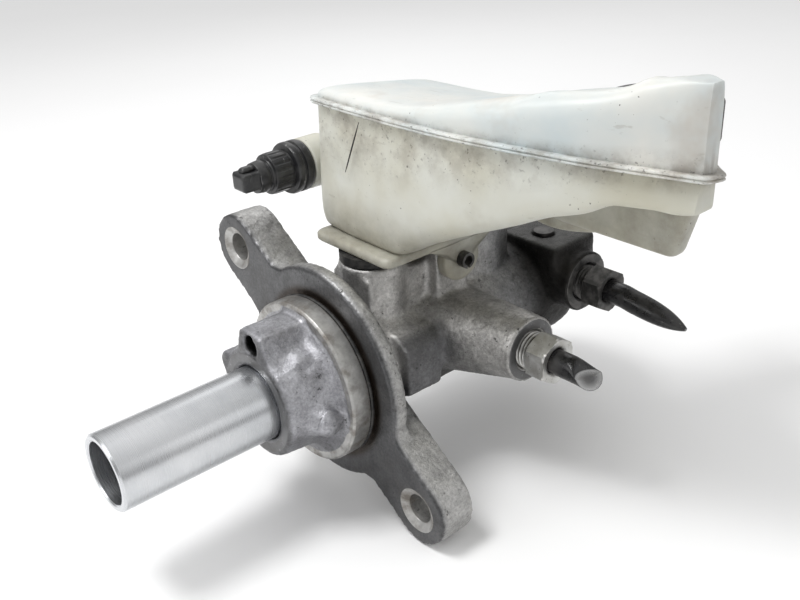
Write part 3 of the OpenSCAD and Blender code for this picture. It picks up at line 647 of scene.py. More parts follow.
class CYLINDER_OT_casting(bpy.types.Operator):
    """Builds the cast body: the frame's solid softened into one skin, its cut faces kept, and coloured"""

    bl_idname = "cylinder.casting"
    bl_label = "Cast body"

    def execute(self, context):
        sizes = context.scene.cylinder_sizes
        mesh = frame["nodes"]["cylinder_body"].data.copy()
        source = bpy.data.objects.new("casting_source", mesh)
        context.scene.collection.objects.link(source)
        clean(mesh, 30)
        remesh = source.modifiers.new("Remesh", "REMESH")
        remesh.mode = "VOXEL"
        remesh.voxel_size = sizes.voxel
        skin = bpy.data.meshes.new_from_object(source.evaluated_get(context.evaluated_depsgraph_get()))
        bpy.data.objects.remove(source)
        points = read(skin.vertices, "co", 3) / MM
        edges = read(skin.edges, "vertices", 2, int)
        normals = read(skin.vertices, "normal", 3)
        cut = machined_share(points)
        points = points + normals * nose_relief(points)[:, None]
        rough = np.random.default_rng(7).normal(0, 0.09, len(points)) * (1 - cut)
        points = soften(points, edges, 0.12 + 0.88 * (1 - cut), 4)
        points = points + normals * rough[:, None]
        points = soften(points, edges, 1 - cut, 1)
        points = np.clip(points, *node_box("cylinder_body"))
        skin.vertices.foreach_set("co", (points * MM).ravel())
        paint_casting(skin, points, cut)
        skin.shade_smooth()
        skin.update()
        skin.materials.clear()
        skin.materials.append(finish_of("cast_aluminium"))
        skin.name = "body_casting"
        piece = bpy.data.objects.new("body_casting", skin)
        context.scene.collection.objects.link(piece)
        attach(piece, "housing")
        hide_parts("cylinder_body")
        return {"FINISHED"}


class CYLINDER_OT_machined_faces(bpy.types.Operator):
    """Adds the crisp turned bands and countersinks that lie on the casting"""

    bl_idname = "cylinder.machined_faces"
    bl_label = "Machined faces"

    def execute(self, context):
        bright, hole_r = finish_of("machined_face"), 4.44
        spigot = mount("spigot")["dims"]["r_mm"]
        lathe_piece("spigot_band", [[-7.75, spigot - 3.2], [-7.75, spigot - 0.6], [-7.2, spigot + 0.04],
                                    [-1.66, spigot + 0.04], [-1.66, spigot - 0.9]],
                    (0, 0, 0), "x", "housing", "cast_aluminium", bright, soft=0.25, sides=256)
        for name, (hole_y, hole_z) in zip(("low", "high"), stud_holes()):
            profile = [[-0.02, 6.95], [-0.04, 6.75], [1.28, hole_r], [12.0, hole_r]]
            lathe_piece("stud_countersink_" + name, profile, (0, hole_y, hole_z), "x", "housing",
                        "cast_aluminium", bright, soft=0.2, sides=96)
        for name, nut in (("front", NUT_FRONT), ("rear", NUT_REAR)):
            cx, cz = nut_axis(nut)
            face = -nut[0][1] - (HEX_LENGTH + STAND_OFF)
            worn = finish_of("flange_face" if name == "front" else "dark_steel")
            lathe_piece("outlet_ring_" + name, [[face - 1.2, 9.9], [face, 9.45], [face + 0.07, 9.2],
                                                [face + 0.07, 6.9], [face - 1.1, 6.15], [face - 5, 6.15]],
                        (cx, 0, cz), "-y", "housing", "cast_aluminium", worn, soft=0.2, sides=128)
        nose = node_box("cylinder_body")[0][0]
        profile = [[nose + 0.05, 15.4], [nose - 0.03, 15.0], [nose - 0.03, 12.7], [nose + 0.7, 11.62],
                   [nose + 4.4, 11.62]]
        lathe_piece("nose_mouth", profile, (0, 0, 0), "x", "housing", "cast_aluminium",
                    finish_of("flange_face"), soft=0.25, sides=160)
        return {"FINISHED"}


# ---------------------------------------------------------------- tank

SEAM_X, SEAM_Z = 18.0, 76.5  # a point of the seam plane
SEAM_SLOPE = math.tan(math.radians(8))
LEAN = 2.2  # of the lower half's back wall, at its foot
LOWER_POWER, UPPER_POWER = 0.19, 0.46  # the smaller, the squarer the sections
FAR_END, NEAR_END = -96.0, 19.5  # the tank's reach along y
MIDDLE_X = 46  # a place well inside the tank

# Sections across the tank: y, back wall x, front wall x, height of the floor, rise of the top over the seam
SECTIONS = np.array([
    [-96, 40.5, 46, 65, 20.5], [-92, 38.5, 50, 64.5, 21.5], [-87, 36, 55.5, 65, 20.5],
    [-80, 32.5, 62.5, 65, 18.5], [-72, 29, 69, 61.5, 16], [-64, 26.4, 74.5, 59, 14.5],
    [-54, 23.5, 78, 54.5, 13], [-42, 20.5, 77, 49.5, 10.5], [-32, 19, 73, 45, 8], [-24, 18.4, 70, 41, 6],
    [-18, 18.1, 68, 37.5, 5], [-14, 18, 67, 36, 4.5], [0, 18, 66, 36, 4], [15.5, 18.6, 65, 36.5, 4],
    [18.5, 21, 62.5, 38.5, 3.2], [19.5, 26, 58, 42, 2.5]])


def seam_height(x):
    """Height of the seam plane."""
    return SEAM_Z - SEAM_SLOPE * (x - SEAM_X)


def tank_rows(way):
    """Open rings of the tank's skin. Across a section the skin follows a squared-off arch: both its width and
    its height grow as a power of the cosine and sine of the angle. The end rings are drawn together."""
    count = 72
    ends = 1 - np.cos(np.linspace(0, np.pi / 2, 9))
    y = np.concatenate([FAR_END + ends[1:] * 6, np.linspace(-89, 12, 84), NEAR_END - ends[::-1] * 6])
    y = np.unique(np.clip(np.concatenate([[FAR_END], y]), FAR_END, NEAR_END))
    values = smooth_rows(SECTIONS, y)
    angle = np.linspace(np.pi, 0, count)
    power = LOWER_POWER if way < 0 else UPPER_POWER
    across = np.sign(np.cos(angle)) * np.abs(np.cos(angle)) ** power
    rise = np.clip(np.sin(angle), 0, 1) ** power
    rise[[0, -1]] = 0
    rings = []
    for place, (back, front, floor, top) in zip(y, values):
        x = (back + front) / 2 + (front - back) / 2 * across
        seam = seam_height(x)
        if way < 0:
            z = seam - rise * (seam - floor)
            x = x + LEAN * rise * np.minimum(0, across)
        else:
            z = seam + rise * top
        rings.append(np.column_stack([x, np.full(count, place), z]))
    rings = np.array(rings)
    for end, bulge in ((0, -1), (-1, 1)):
        ring = rings[end]
        middle = np.array([ring[:, 0].mean(), ring[0, 1], seam_height(ring[:, 0].mean())])
        inner = []
        for share in (0.96, 0.86, 0.6, 0.3, 0.0):
            inner.append(middle + (ring - middle) * share + [0, bulge * 0.5 * (1 - share), 0])
        rings = np.concatenate([inner[::-1], rings]) if end == 0 else np.concatenate([rings, inner])
    return rings


def sculpt_top(p):
    """Relief of the tank's top: a long shallow dish, a crease beside it, a raised end block with a peak at
    its corner, and a low platform over the near end. Only points over the seam move. The soft minimum with the
    CAD box's top is minus the logarithm of the sum of both heights' exponentials, each height taken negative
    and over a softness."""
    x, y, z = p[..., 0], p[..., 1], p[..., 2]
    flat = np.stack([x, y], -1)
    over = np.clip((z - seam_height(x)) / 6, 0, 1)
    lift = -2.6 * bump(flat, (52, -50), (13, 20)) - 1.2 * bump(flat, (36, -34), (9, 16))
    lift = lift + 1.3 * step(-74, -81, y - 0.35 * (x - 45)) + 0.7 * bump(flat, (31, -62), (5, 18))
    lift = lift - 1.0 * bump(flat, (56, -76), (7, 5)) + 0.5 * bump(flat, (38, 2), (14, 9))
    lift = lift + 2.0 * bump(flat, (41, -96), (4, 5)) - 1.6 * bump(flat, (54, -84), (8, 5))
    lift = lift + 0.8 * step(-66, -70, y + 0.6 * (x - 50)) * step(-84, -80, y)
    out = p.copy()
    ceiling, softness = CAD_BOX[1][2] / MM, 0.4
    out[..., 2] = -np.logaddexp(-(z + over * lift) / softness, -ceiling / softness) * softness
    return out


def near_seam(p, reach):
    """1 at the seam, falling to 0 at reach from it."""
    return np.clip(1 - np.abs(p[:, 2] - seam_height(p[:, 0])) / reach, 0, 1)


def mark_milky(piece):
    """Stores where grime gathers along the seam, and where painted shade with some grime darkens the tank:
    towards its foot and under the overhang at its far end.
    """
    p = read(piece.data.vertices, "co", 3) / MM
    store(piece.data, "near_seam", near_seam(p, 3.2) ** 1.3)
    # Painted shade, with some grime: darker towards the foot and under the overhang at the far end.
    shade = step(56, 37, p[:, 2]) * 0.95
    shade = np.maximum(shade, step(36, 46, p[:, 0]) * step(67, 60, p[:, 2]) * step(-30, -45, p[:, 1]))
    store(piece.data, "foot", np.clip(shade, 0, 1))


class CYLINDER_OT_tank(bpy.types.Operator):
    """Builds the two halves of the tank and the welded flange between them"""

    bl_idname = "cylinder.tank"
    bl_label = "Tank halves"

    def execute(self, context):
        sizes = context.scene.cylinder_sizes
        for name, way, node in (("tank_lower", -1, "reservoir_lower"), ("tank_upper", 1, "reservoir_upper")):
            rings = tank_rows(way)
            if way > 0:
                rings = sculpt_top(rings)
            rings[..., 2] += way * 0.03
            finish = finish_of("milky_upper" if way > 0 else "milky_lower")
            points, faces = self.shell(rings, sizes.tank_wall / MM)
            piece = add_piece(name, points, faces, "housing", finish, (node,), 50)
            mark_milky(piece)
        self.flange()
        return {"FINISHED"}

    def shell(self, rings, wall):
        """A closed wall: the outer skin, the same skin drawn in by the wall, and a strip joining their
        rims."""
        rows, cols = rings.shape[:2]
        along = np.gradient(rings, axis=0)
        around = np.gradient(rings, axis=1)
        normal = np.cross(along, around)
        length = np.linalg.norm(normal, axis=-1, keepdims=True)
        normal = normal / np.maximum(length, 1e-9)
        middle = np.array([MIDDLE_X, rings[..., 1].mean(), seam_height(MIDDLE_X)])
        outward = np.sign(((rings - middle) * normal).sum())
        normal = normal * outward
        inner = rings - normal * wall
        inner[:, 0, 2], inner[:, -1, 2] = rings[:, 0, 2], rings[:, -1, 2]
        points = np.concatenate([rings.reshape(-1, 3), inner.reshape(-1, 3)])
        skin = grid_faces(rows, cols)
        offset = rows * cols
        left = np.arange(rows - 1) * cols
        rim = [np.stack([left + c, left + cols + c, left + cols + c + offset, left + c + offset], -1)
               for c in (0, cols - 1)]
        return points, np.concatenate([skin, skin + offset] + rim)

    def flange(self):
        """Two thin welded lips round the tank: a rounded band swept along the walls' line at the seam."""
        y = np.concatenate([np.linspace(-96, -90, 7), np.linspace(-88, 14, 60), np.linspace(15, 19.5, 7)])
        values = smooth_rows(SECTIONS, y)
        back, front = np.column_stack([values[:, 0], y]), np.column_stack([values[:, 1], y])
        line = rounded(np.concatenate([back, front[::-1]]), 1.5, 2, True)
        ahead, behind = np.roll(line, -1, 0), np.roll(line, 1, 0)
        run = ahead - behind
        length = np.maximum(np.linalg.norm(run, axis=1), 1e-9)[:, None]
        out = np.column_stack([run[:, 1], -run[:, 0]]) / length
        if ((line - line.mean(0)) * out).sum() < 0:
            out = -out
        profile = ((-0.9, -0.85), (1.6, -0.85), (2.1, -0.7), (2.25, -0.35), (1.95, -0.06), (1.45, 0.0),
                   (1.95, 0.08), (2.3, 0.4), (2.15, 0.8), (1.6, 0.95), (-0.9, 0.95))
        rows = []
        for reach, lift in profile:
            flat = line + out * reach
            rows.append(np.column_stack([flat, seam_height(flat[:, 0]) + lift]))
        rows = np.array(rows)
        piece = add_piece("seam_flange", rows, grid_faces(*rows.shape[:2], True, True), "housing",
                          finish_of("milky_upper"), (), 60)
        store(piece.data, "near_seam", np.full(len(piece.data.vertices), 1.0))
        store(piece.data, "foot", np.zeros(len(piece.data.vertices)))


def milky(make, *shape, **how):
    """A piece of the tank's lower plastic, made by one of the makers and marked where grime gathers and where
    shade is painted.
    """
    mark_milky(make(*shape, "housing", "milky_plastic", finish_of("milky_lower"), **how))


class CYLINDER_OT_tank_fittings(bpy.types.Operator):
    """Builds what is moulded onto the tank: base plate and lugs, far pocket, sensor sleeve and filler neck"""

    bl_idname = "cylinder.tank_fittings"
    bl_label = "Tank fittings"

    def execute(self, context):
        self.plate_and_lugs()
        self.pocket()
        self.tower()
        for name in ("primary", "floating"):
            milky(lathe_piece, "nipple_" + name, [[24.1, 3.9], [24.1, 5.4], [34.5, 5.4], [34.5, 3.9]],
                  (centre_of(name + "_grommet")[0], 0, 0), "z", closed=True, sides=48)
        self.sensor_sleeve()
        self.moulding_line()
        self.neck()
        return {"FINISHED"}

    def plate_and_lugs(self):
        """The plate under the tank and its two lugs for the cross pin: an arc round the pin with a spread
        foot, whose outline is drawn towards its middle at both faces."""
        pin_x, _, pin_z = centre_of("reservoir_pin")
        half = node_box("reservoir_pin")[1][1] - 2.6
        milky(rounded_box, "base_plate", (13.7, -half, 34.02), (74, half, 37.4), 3)
        angle, lug_r, foot_z = np.linspace(np.radians(-205), np.radians(25), 25), 7.2, 34.6
        arc = np.column_stack([pin_x + lug_r * np.cos(angle), pin_z + lug_r * np.sin(angle)])
        outline = rounded(np.vstack([[[pin_x - 14, foot_z]], arc, [[pin_x + 14, foot_z]]]), 2.5, 4)
        apart = np.linalg.norm(np.diff(outline, axis=0), axis=1) > 1e-6
        outline = outline[np.concatenate([[True], apart])]
        middle = np.array([pin_x, 31.5])
        for name, y0 in (("near", -half), ("far", half - 4.0)):
            rows = []
            for depth, grow in ((0, -0.7), (0.25, -0.25), (0.8, 0), (3.2, 0), (3.75, -0.25), (4, -0.7)):
                flat = outline + (outline - middle) * grow / 8
                flat[:, 1] = np.where(outline[:, 1] > 34, outline[:, 1], flat[:, 1])
                rows.append(np.column_stack([flat[:, 0], np.full(len(flat), y0 + depth), flat[:, 1]]))
            milky(loft_piece, "pin_lug_" + name, rows, angle=40)

    def pocket(self):
        """The deep pocket under the overhang: a wedge that narrows towards its end and its foot."""
        rows = []
        for z, foot in ((47.6, 0.6), (48.1, 0.15), (49, 0.0), (53, 0.0), (60, 0.0), (66, 0.0)):
            up = (z - 47.5) / 18
            y_end = -85 - 4.5 * up
            x0, x1, x2 = 49 + foot, 55 + 1.5 * up - foot, 67 + 4 * up - foot
            corners = [[x0, y_end + foot], [x1, y_end + foot], [x2, -30 - foot], [x0, -30 - foot]]
            rows.append(at_height(rounded(corners, 2.2, 6, True), z))
        milky(loft_piece, "tank_pocket", rows, angle=40)

    def tower(self):
        """The side chamber under the filler neck: an outline of two half circles and straight sides."""
        cx, cy, _ = centre_of("filler_cap")
        top = node_box("filler_cap")[0][2] - 1
        angle = np.linspace(-np.pi / 2, np.pi / 2, 25)
        rows = []
        for z, draw in ((top - 13.5, 1.6), (top - 13.1, 0.6), (top - 12.2, 0), (top - 1.6, 0),
                        (top - 0.5, 0.5), (top, 1.6)):
            r = 17 - draw
            right = np.column_stack([cx + r * np.cos(angle), cy + r * np.sin(angle)])
            left = np.column_stack([66 - r * np.cos(angle), cy - r * np.sin(angle)])
            rows.append(at_height(np.vstack([right, left]), z))
        milky(loft_piece, "filler_tower", rows, angle=40)

    def neck(self):
        """The filler neck, with a bead round its outside."""
        cx, cy, _ = centre_of("filler_cap")
        foot, rim, inner, outer = 57, node_box("cap_gasket")[0][2] - 0.1, 12, 14
        profile = [[foot, inner], [foot, outer], [rim - 6, outer], [rim - 5.4, outer + 0.4],
                   [rim - 4.6, outer + 0.4], [rim - 4, outer], [rim, outer], [rim, inner]]
        milky(lathe_piece, "filler_neck", profile, (cx, cy, 0), "z", closed=True, sides=96)

    def moulding_line(self):
        """A fine raised line down the back wall: a thin bead between two points, pointed at both ends."""
        top, foot = np.array([16.25, -5.3, 74.4]), np.array([15.95, 2.0, 58.6])
        share = np.linspace(0, 1, 40)[:, None]
        sides = 12
        turn = round_angles(sides)[None, :]
        swell = 0.24 * np.sin(np.pi * np.clip(share, 0.03, 0.97)) ** 0.35
        middle = top + (foot - top) * share
        points = np.stack([middle[:, :1] + swell * np.cos(turn), middle[:, 1:2] + swell * np.sin(turn),
                           middle[:, 2:3] + 0 * turn], -1)
        flat = points[:1] * 0
        points = np.concatenate([flat + points[0].mean(0), points, flat + points[-1].mean(0)])
        add_piece("moulding_line", points, grid_faces(len(points), sides, close_cols=True), "housing",
                  finish_of("rubber"))

    def sensor_sleeve(self):
        """The horizontal sleeve that takes the level sensor, with the web that joins it to the tank."""
        _, cy, cz = centre_of("level_sensor")
        milky(lathe_piece, "sensor_sleeve", [[19.6, 7.1], [19.6, 7.8], [20.2, 8.0], [27.2, 8.0], [28.4, 7.4],
                                             [53, 7.1], [54, 6], [54, 0.01]],
              (0, cy, cz), "x", soft=0.6, sides=96)
        milky(rounded_box, "sensor_web", (26.2, cy - 14, cz - 5), (52, cy - 3, cz + 5), 2.0)


# ---------------------------------------------------------------- nuts, pipes, sensor, cap


class CYLINDER_OT_nuts(bpy.types.Operator):
    """Builds the two tube nuts, each one surface: thread, collar, chamfered hexagon and bore"""

    bl_idname = "cylinder.nuts"
    bl_label = "Tube nuts"

    def execute(self, context):
        pitch = context.scene.cylinder_sizes.thread_pitch / MM
        for name, nut, slot in (("front", NUT_FRONT, "zinc_steel"), ("rear", NUT_REAR, "dark_steel")):
            cx, cz = nut_axis(nut)
            end = -nut[0][1]
            hexagon = end - HEX_LENGTH
            apothem = (nut[1][0] - nut[0][0]) / 2 * math.cos(math.pi / 6)

            def shape(along, turn, radius, apothem=apothem, hexagon=hexagon, end=end):
                """Hexagon: the apothem over the cosine of the angle from the nearest flat, cut by cones at
                both ends. Thread: a triangle wave of the distance over the pitch less the turn."""
                flat = (turn + np.pi / 6) % (np.pi / 3) - np.pi / 6
                hexed = apothem / np.cos(flat)
                cone = apothem + 0.35 + np.minimum(end - along, along - hexagon) * 1.7
                hexed = np.minimum(hexed, cone)
                wave = np.abs(((along / pitch - turn / (2 * np.pi)) % 1) * 2 - 1)
                thread = -0.02 - 0.72 * wave
                on_hex = (along > hexagon - 1e-6) & (radius > apothem - 0.01)
                on_thread = (along < hexagon - 0.3) & (radius > 5.5)
                return np.where(on_hex, hexed - radius, np.where(on_thread, thread, 0))

            thread_r = 5.93
            threads = [[a, thread_r] for a in np.arange(hexagon - 6, hexagon - 0.3, pitch / 10)]
            sides_line = [[a, apothem] for a in np.linspace(hexagon, end, 15)]
            bore = 3.97
            profile = ([[hexagon - 6, bore], [hexagon - 6.05, thread_r - 0.7]] + threads
                       + [[hexagon - 0.3, 5.2], [hexagon - 0.02, 5.2]] + sides_line
                       + [[end, apothem - 1.2], [end - 0.25, bore + 0.6], [end - 0.8, bore],
                          [hexagon - 6, bore]])
            points, faces = lathe_points(profile, (cx, 0, cz), "-y", 144, shape)
            piece = add_piece("tube_nut_shape_" + name, points, faces, "housing", finish_of(slot),
                              ("tube_nut_" + name,), 28)
            p = read(piece.data.vertices, "co", 3) / MM
            away = np.hypot(p[:, 0] - cx, p[:, 2] - cz)
            # Painted shade: marks the thread's grooves, the neck under the hexagon and the bore, to be
            # darkened.
            store(piece.data, "painted_groove_shade", step(5.8, 5.3, away) * step(hexagon + 0.2, hexagon - 0.1, -p[:, 1]))
        return {"FINISHED"}


class CYLINDER_OT_pipes(bpy.types.Operator):
    """Builds the two cut brake pipes: the front one crushed at its end, the rear one pinched to a point"""

    bl_idname = "cylinder.pipes"
    bl_label = "Brake pipes"

    def execute(self, context):
        for name, nut, drop, pinch in (("front", NUT_FRONT, -4.0, False), ("rear", NUT_REAR, 6.5, True)):
            low = node_box("brake_pipe_" + name)[0]
            cx, cz = nut_axis(nut)
            radius, sides = 3.78, 48
            start, elbow, tip = -nut[0][1] - 16, -nut[0][1] + 3, -low[1] - (0.6 if pinch else 2.2)
            along = np.concatenate([np.linspace(start, elbow, 12), np.linspace(elbow + 1, tip, 40)])
            slope = math.tan(math.radians(drop))
            sag = np.where(along > elbow, -(along - elbow) * slope * step(elbow, elbow + 6, along), 0)
            share = np.clip((along - elbow - 2) / (tip - elbow - 2), 0, 1)
            turn = round_angles(sides)
            if pinch:
                wide = radius * (1 - 0.80 * share ** 4.5)
                tall = radius * (1 - 0.86 * share ** 3.6)
            else:
                wide = tall = radius * np.ones_like(share)
            rings = np.stack([cx + wide[:, None] * np.cos(turn), -(along[:, None] + 0 * turn),
                              cz + sag[:, None] + tall[:, None] * np.sin(turn)], -1)
            if pinch:
                rings[..., 2] -= (share ** 3 * 1.2)[:, None]
                rings[..., 0] += (share ** 3 * 1.0)[:, None]
                rings = np.concatenate([rings, rings[-1:].mean(1, keepdims=True) + 0 * rings[-1:]])
                bare = np.concatenate([np.zeros(len(along)), [0.4]])
            else:
                crush = np.clip((along - tip + 7) / 7, 0, 1)[:, None] ** 1.6
                low_side = np.sin(turn - 0.5)[None, :]
                rings[..., 2] += crush * radius * (-0.75 * np.clip(np.sin(turn)[None, :], 0, 1) - 0.15)
                rings[..., 0] += crush * radius * 0.12 * np.cos(turn)[None, :]
                rings[..., 1] += crush * 2.4 * (low_side + 0.25)
                mid = rings[-1].mean(0)
                lip = [mid + (rings[-1] - mid) * s for s in (0.9, 0.6, 0.3)]
                rings = np.concatenate([rings, lip, [mid + 0 * rings[-1]]])
                bare = np.concatenate([np.zeros(len(along) - 1), [0.25, 0.6, 0.35, 0.15, 0.1]])
            rings = np.concatenate([[rings[0].mean(0) + 0 * rings[0]], rings])
            bare = np.concatenate([[0], bare])
            piece = add_piece("pipe_shape_" + name, rings, grid_faces(len(rings), sides, close_cols=True),
                              "housing", finish_of("pipe_coat"), ("brake_pipe_" + name,), 40)
            p = read(piece.data.vertices, "co", 3) / MM
            marks = [bare[np.argmin(((rings.reshape(-1, 3) - q) ** 2).sum(1)) // sides] for q in p]
            store(piece.data, "bare", marks)
        return {"FINISHED"}


class CYLINDER_OT_sensor(bpy.types.Operator):
    """Builds the level sensor: stepped body with grooves, grip ribs, a flange and its connector"""

    bl_idname = "cylinder.sensor"
    bl_label = "Level sensor"

    def execute(self, context):
        low, high = node_box("level_sensor")
        _, cy, cz = centre_of("level_sensor")
        black = finish_of("black_plastic")
        flange = (high[1] - low[1]) / 2
        back = 19.5

        def ribs(along, turn, radius):
            """Shallow grooves between grip ribs on the middle step: the positive part of a wave round the
            axis, taken from the radius."""
            band = step(7.0, 7.6, along) * step(12.9, 12.3, along) * (radius > 5)
            return -0.3 * band * np.clip(np.cos(turn * 18), 0, 1)

        profile = [[2.0, 0.01], [2.0, 4.6], [4.2, 4.9], [5.2, 4.9], [5.3, 4.4], [5.9, 4.4], [6.1, 4.9],
                   [6.5, 5.0], [6.6, 6.1], [8, 6.3], [12.6, 6.3], [12.8, 5.8], [13.3, 5.8],
                   [13.5, flange - 0.3], [14.2, flange], [15.6, flange], [15.8, flange - 0.7],
                   [16.5, flange - 0.7], [16.7, flange],
                   [18.6, flange], [back, flange - 0.4], [back, 4.0], [49.4, 3.9], [50, 3.2], [50, 0.01]]
        lathe_piece("sensor_body", profile, (0, cy, cz), "x", "housing", "black_plastic", black,
                    ("level_sensor",), soft=0.18, sides=144, ripple=ribs)
        rows = []
        for x, draw in ((low[0], 0.9), (low[0] + 0.25, 0.35), (low[0] + 0.8, 0), (1.6, 0), (2.4, -0.4)):
            a, b = 3.4 - draw, 2.8 - draw
            line = rounded([[-a, -b], [a, -b], [a, b], [-a, b]], 0.9, 5, True)
            rows.append(np.column_stack([np.full(len(line), x), cy + line[:, 0], cz + line[:, 1]]))
        loft_piece("sensor_connector", rows, "housing", "black_plastic", black)
        rounded_box("sensor_latch", (low[0] + 1.2, cy - 1.4, cz + 2.4), (2.6, cy + 1.4, cz + 4.2), 0.6,
                    "housing", "black_plastic", black)
        return {"FINISHED"}


class CYLINDER_OT_cap(bpy.types.Operator):
    """Builds the filler cap with its grip ribs, raised rim and hollow underside"""

    bl_idname = "cylinder.cap"
    bl_label = "Filler cap"

    def execute(self, context):
        low, high = node_box("filler_cap")
        cx, cy, _ = centre_of("filler_cap")
        radius, z0, z1 = (high[0] - low[0]) / 2, low[2], high[2]
        count = int(context.scene.cylinder_sizes.cap_ribs)

        def ribs(along, turn, r):
            """Grip ribs: the skirt is drawn in between them by the fourth power of a wave round the axis."""
            skirt = step(z0 + 0.8, z0 + 1.6, along) * step(z1 - 0.8, z1 - 1.6, along) * (r > radius - 1)
            return -0.7 * skirt * np.cos(turn * count / 2) ** 4

        levels = np.linspace(z0 + 1.0, z1 - 1.0, 9)
        profile = ([[z0, 14.7], [z0, radius - 0.4], [z0 + 0.5, radius]] + [[z, radius] for z in levels]
                   + [[z1 - 0.4, radius - 0.2], [z1, radius - 1.2], [z1, radius - 3],
                      [z1 - 0.5, radius - 3.6], [z1 - 0.5, 6], [z1 - 0.1, 5.4], [z1 - 0.1, 0.01],
                      [z1 - 2.15, 0.01], [z1 - 2.15, 14.7]])
        black = finish_of("black_plastic")
        lathe_piece("cap_shape", profile, (cx, cy, 0), "z", "cap", "black_plastic", black, ("filler_cap",),
                    soft=0.25, sides=288, ripple=ribs, closed=True)
        return {"FINISHED"}


# ---------------------------------------------------------------- finishes of carried nodes and the stage


class CYLINDER_OT_node_finishes(bpy.types.Operator):
    """Gives every CAD node that is still shown the finish of its slot"""

    bl_idname = "cylinder.node_finishes"
    bl_label = "Node finishes"

    def execute(self, context):
        for row in frame["record"]["subparts"]:
            slot = row["material_slot"]
            name = "milky_lower" if slot == "milky_plastic" else slot
            if row["node"] == "boss_plug":
                name = "dark_steel"
            mesh = frame["nodes"][row["node"]].data
            mesh.materials.clear()
            mesh.materials.append(finish_of(name))
        return {"FINISHED"}


FLOOR_GAP, FLOOR_R = 0.0004, 4
LIGHTS = (("key", (-0.22, 0.10, 0.60), 0.20, 2.3), ("left", (-0.62, 0.20, 0.30), 0.30, 0.7),
          ("right", (0.34, -0.62, 0.30), 0.34, 0.25), ("back", (0.42, 0.42, 0.42), 0.40, 0.5))
CAMERA_PLACE = (-0.1370, -0.2026, 0.1470)
CAMERA_RIGHT = (0.7519, -0.6577, -0.0459)
CAMERA_UP = (0.3300, 0.3151, 0.8898)
CAMERA_AHEAD = (0.5708, 0.6842, -0.4539)
CAMERA_LENS, CAMERA_SENSOR = 42.4, 36.0


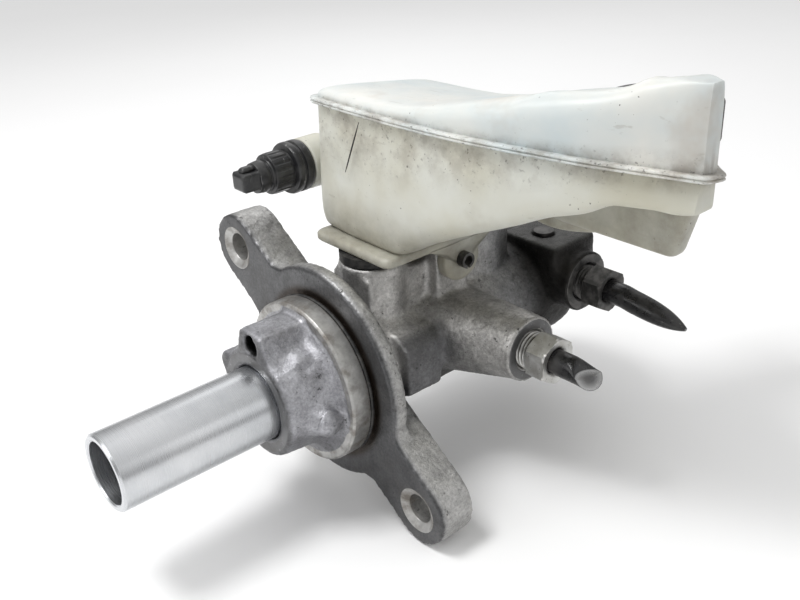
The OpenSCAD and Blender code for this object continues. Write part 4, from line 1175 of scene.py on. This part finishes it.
class CYLINDER_OT_stage(bpy.types.Operator):
    """Sets the floor, the soft lights, the pale surroundings and the camera"""

    bl_idname = "cylinder.stage"
    bl_label = "Stage"

    def execute(self, context):
        scene = context.scene
        self.floor(CAD_BOX[0][2] - FLOOR_GAP, scene.cylinder_sizes.floor_colour)
        for lamp in LIGHTS:
            self.light(*lamp)
        self.surroundings(scene)
        scene.view_settings.view_transform = "Standard"
        camera = bpy.data.cameras.new("camera")
        camera.lens, camera.sensor_width = CAMERA_LENS, CAMERA_SENSOR
        camera.clip_start = 0.01
        holder = bpy.data.objects.new("camera", camera)
        scene.collection.objects.link(holder)
        turn = Matrix((CAMERA_RIGHT, CAMERA_UP, [-a for a in CAMERA_AHEAD])).transposed()
        holder.matrix_world = Matrix.Translation(CAMERA_PLACE) @ turn.to_4x4()
        scene.camera = holder
        return {"FINISHED"}

    def surroundings(self, scene):
        """A white world whose strength climbs from below to above."""
        world = bpy.data.worlds.new("surroundings")
        scene.world = world
        world.use_nodes = True
        tree = world.node_tree
        sky = tree.nodes["Background"]
        place = tree.nodes.new("ShaderNodeTexCoord")
        split = tree.nodes.new("ShaderNodeSeparateXYZ")
        climb = tree.nodes.new("ShaderNodeMapRange")
        for socket, number in zip(climb.inputs[1:5], (-0.1, 0.9, 0.22, 0.86)):
            socket.default_value = number
        tree.links.new(place.outputs["Generated"], split.inputs[0])
        tree.links.new(split.outputs["Z"], climb.inputs[0])
        tree.links.new(climb.outputs[0], sky.inputs["Strength"])
        sky.inputs["Color"].default_value = (1.0, 1.0, 1.0, 1.0)

    def floor(self, height, colour):
        """A wide pale disc with a faint unevenness."""
        f = Finish("floor", roughness=0.9)
        share = f.between(f.noise(6, 3), 0.3, 0.7)
        material = f.finish(f.colour(share, tuple(colour), tuple(c * 0.985 for c in colour)))
        mesh = bpy.data.meshes.new("floor")
        rim = [(FLOOR_R * math.cos(a), FLOOR_R * math.sin(a), height) for a in round_angles(64)]
        mesh.from_pydata(rim, [], [list(range(len(rim)))])
        mesh.materials.append(material)
        floor = bpy.data.objects.new("floor", mesh)
        bpy.context.scene.collection.objects.link(floor)

    def light(self, name, place, size, power):
        """A square soft box that looks at the middle of the object."""
        lamp = bpy.data.lights.new("light_" + name, "AREA")
        lamp.size, lamp.energy = size, power
        holder = bpy.data.objects.new("light_" + name, lamp)
        bpy.context.scene.collection.objects.link(holder)
        middle = (np.array(CAD_BOX[0]) + np.array(CAD_BOX[1])) / 2
        away = Matrix.Translation(place).translation - Matrix.Translation(middle.tolist()).translation
        holder.matrix_world = Matrix.Translation(place) @ away.to_track_quat("Z", "Y").to_matrix().to_4x4()


class CYLINDER_PT_panel(bpy.types.Panel):
    """Lists the pieces and their sizes"""

    bl_label = "Brake master cylinder"
    bl_idname = "CYLINDER_PT_panel"
    bl_space_type = "VIEW_3D"
    bl_region_type = "UI"
    bl_category = "Cylinder"

    def draw(self, context):
        for name in CylinderSizes.__annotations__:
            self.layout.prop(context.scene.cylinder_sizes, name)
        for operator in OPERATORS:
            self.layout.operator(operator.bl_idname)


OPERATORS = (CYLINDER_OT_node_finishes, CYLINDER_OT_casting, CYLINDER_OT_machined_faces, CYLINDER_OT_tank,
             CYLINDER_OT_tank_fittings, CYLINDER_OT_nuts, CYLINDER_OT_pipes, CYLINDER_OT_sensor,
             CYLINDER_OT_cap, CYLINDER_OT_stage)
CLASSES = (CylinderSizes, *OPERATORS, CYLINDER_PT_panel)


def register():
    """Adds the classes and the scene's sizes."""
    for cls in CLASSES:
        bpy.utils.register_class(cls)
    bpy.types.Scene.cylinder_sizes = PointerProperty(type=CylinderSizes)


def unregister():
    """Takes the sizes and the classes away again."""
    del bpy.types.Scene.cylinder_sizes
    for cls in reversed(CLASSES):
        bpy.utils.unregister_class(cls)


def main():
    """Builds everything in order."""
    register()
    bpy.ops.cylinder.node_finishes()
    bpy.ops.cylinder.casting()
    bpy.ops.cylinder.machined_faces()
    bpy.ops.cylinder.tank()
    bpy.ops.cylinder.tank_fittings()
    bpy.ops.cylinder.nuts()
    bpy.ops.cylinder.pipes()
    bpy.ops.cylinder.sensor()
    bpy.ops.cylinder.cap()
    bpy.ops.cylinder.stage()


if __name__ == "__main__":
    main()
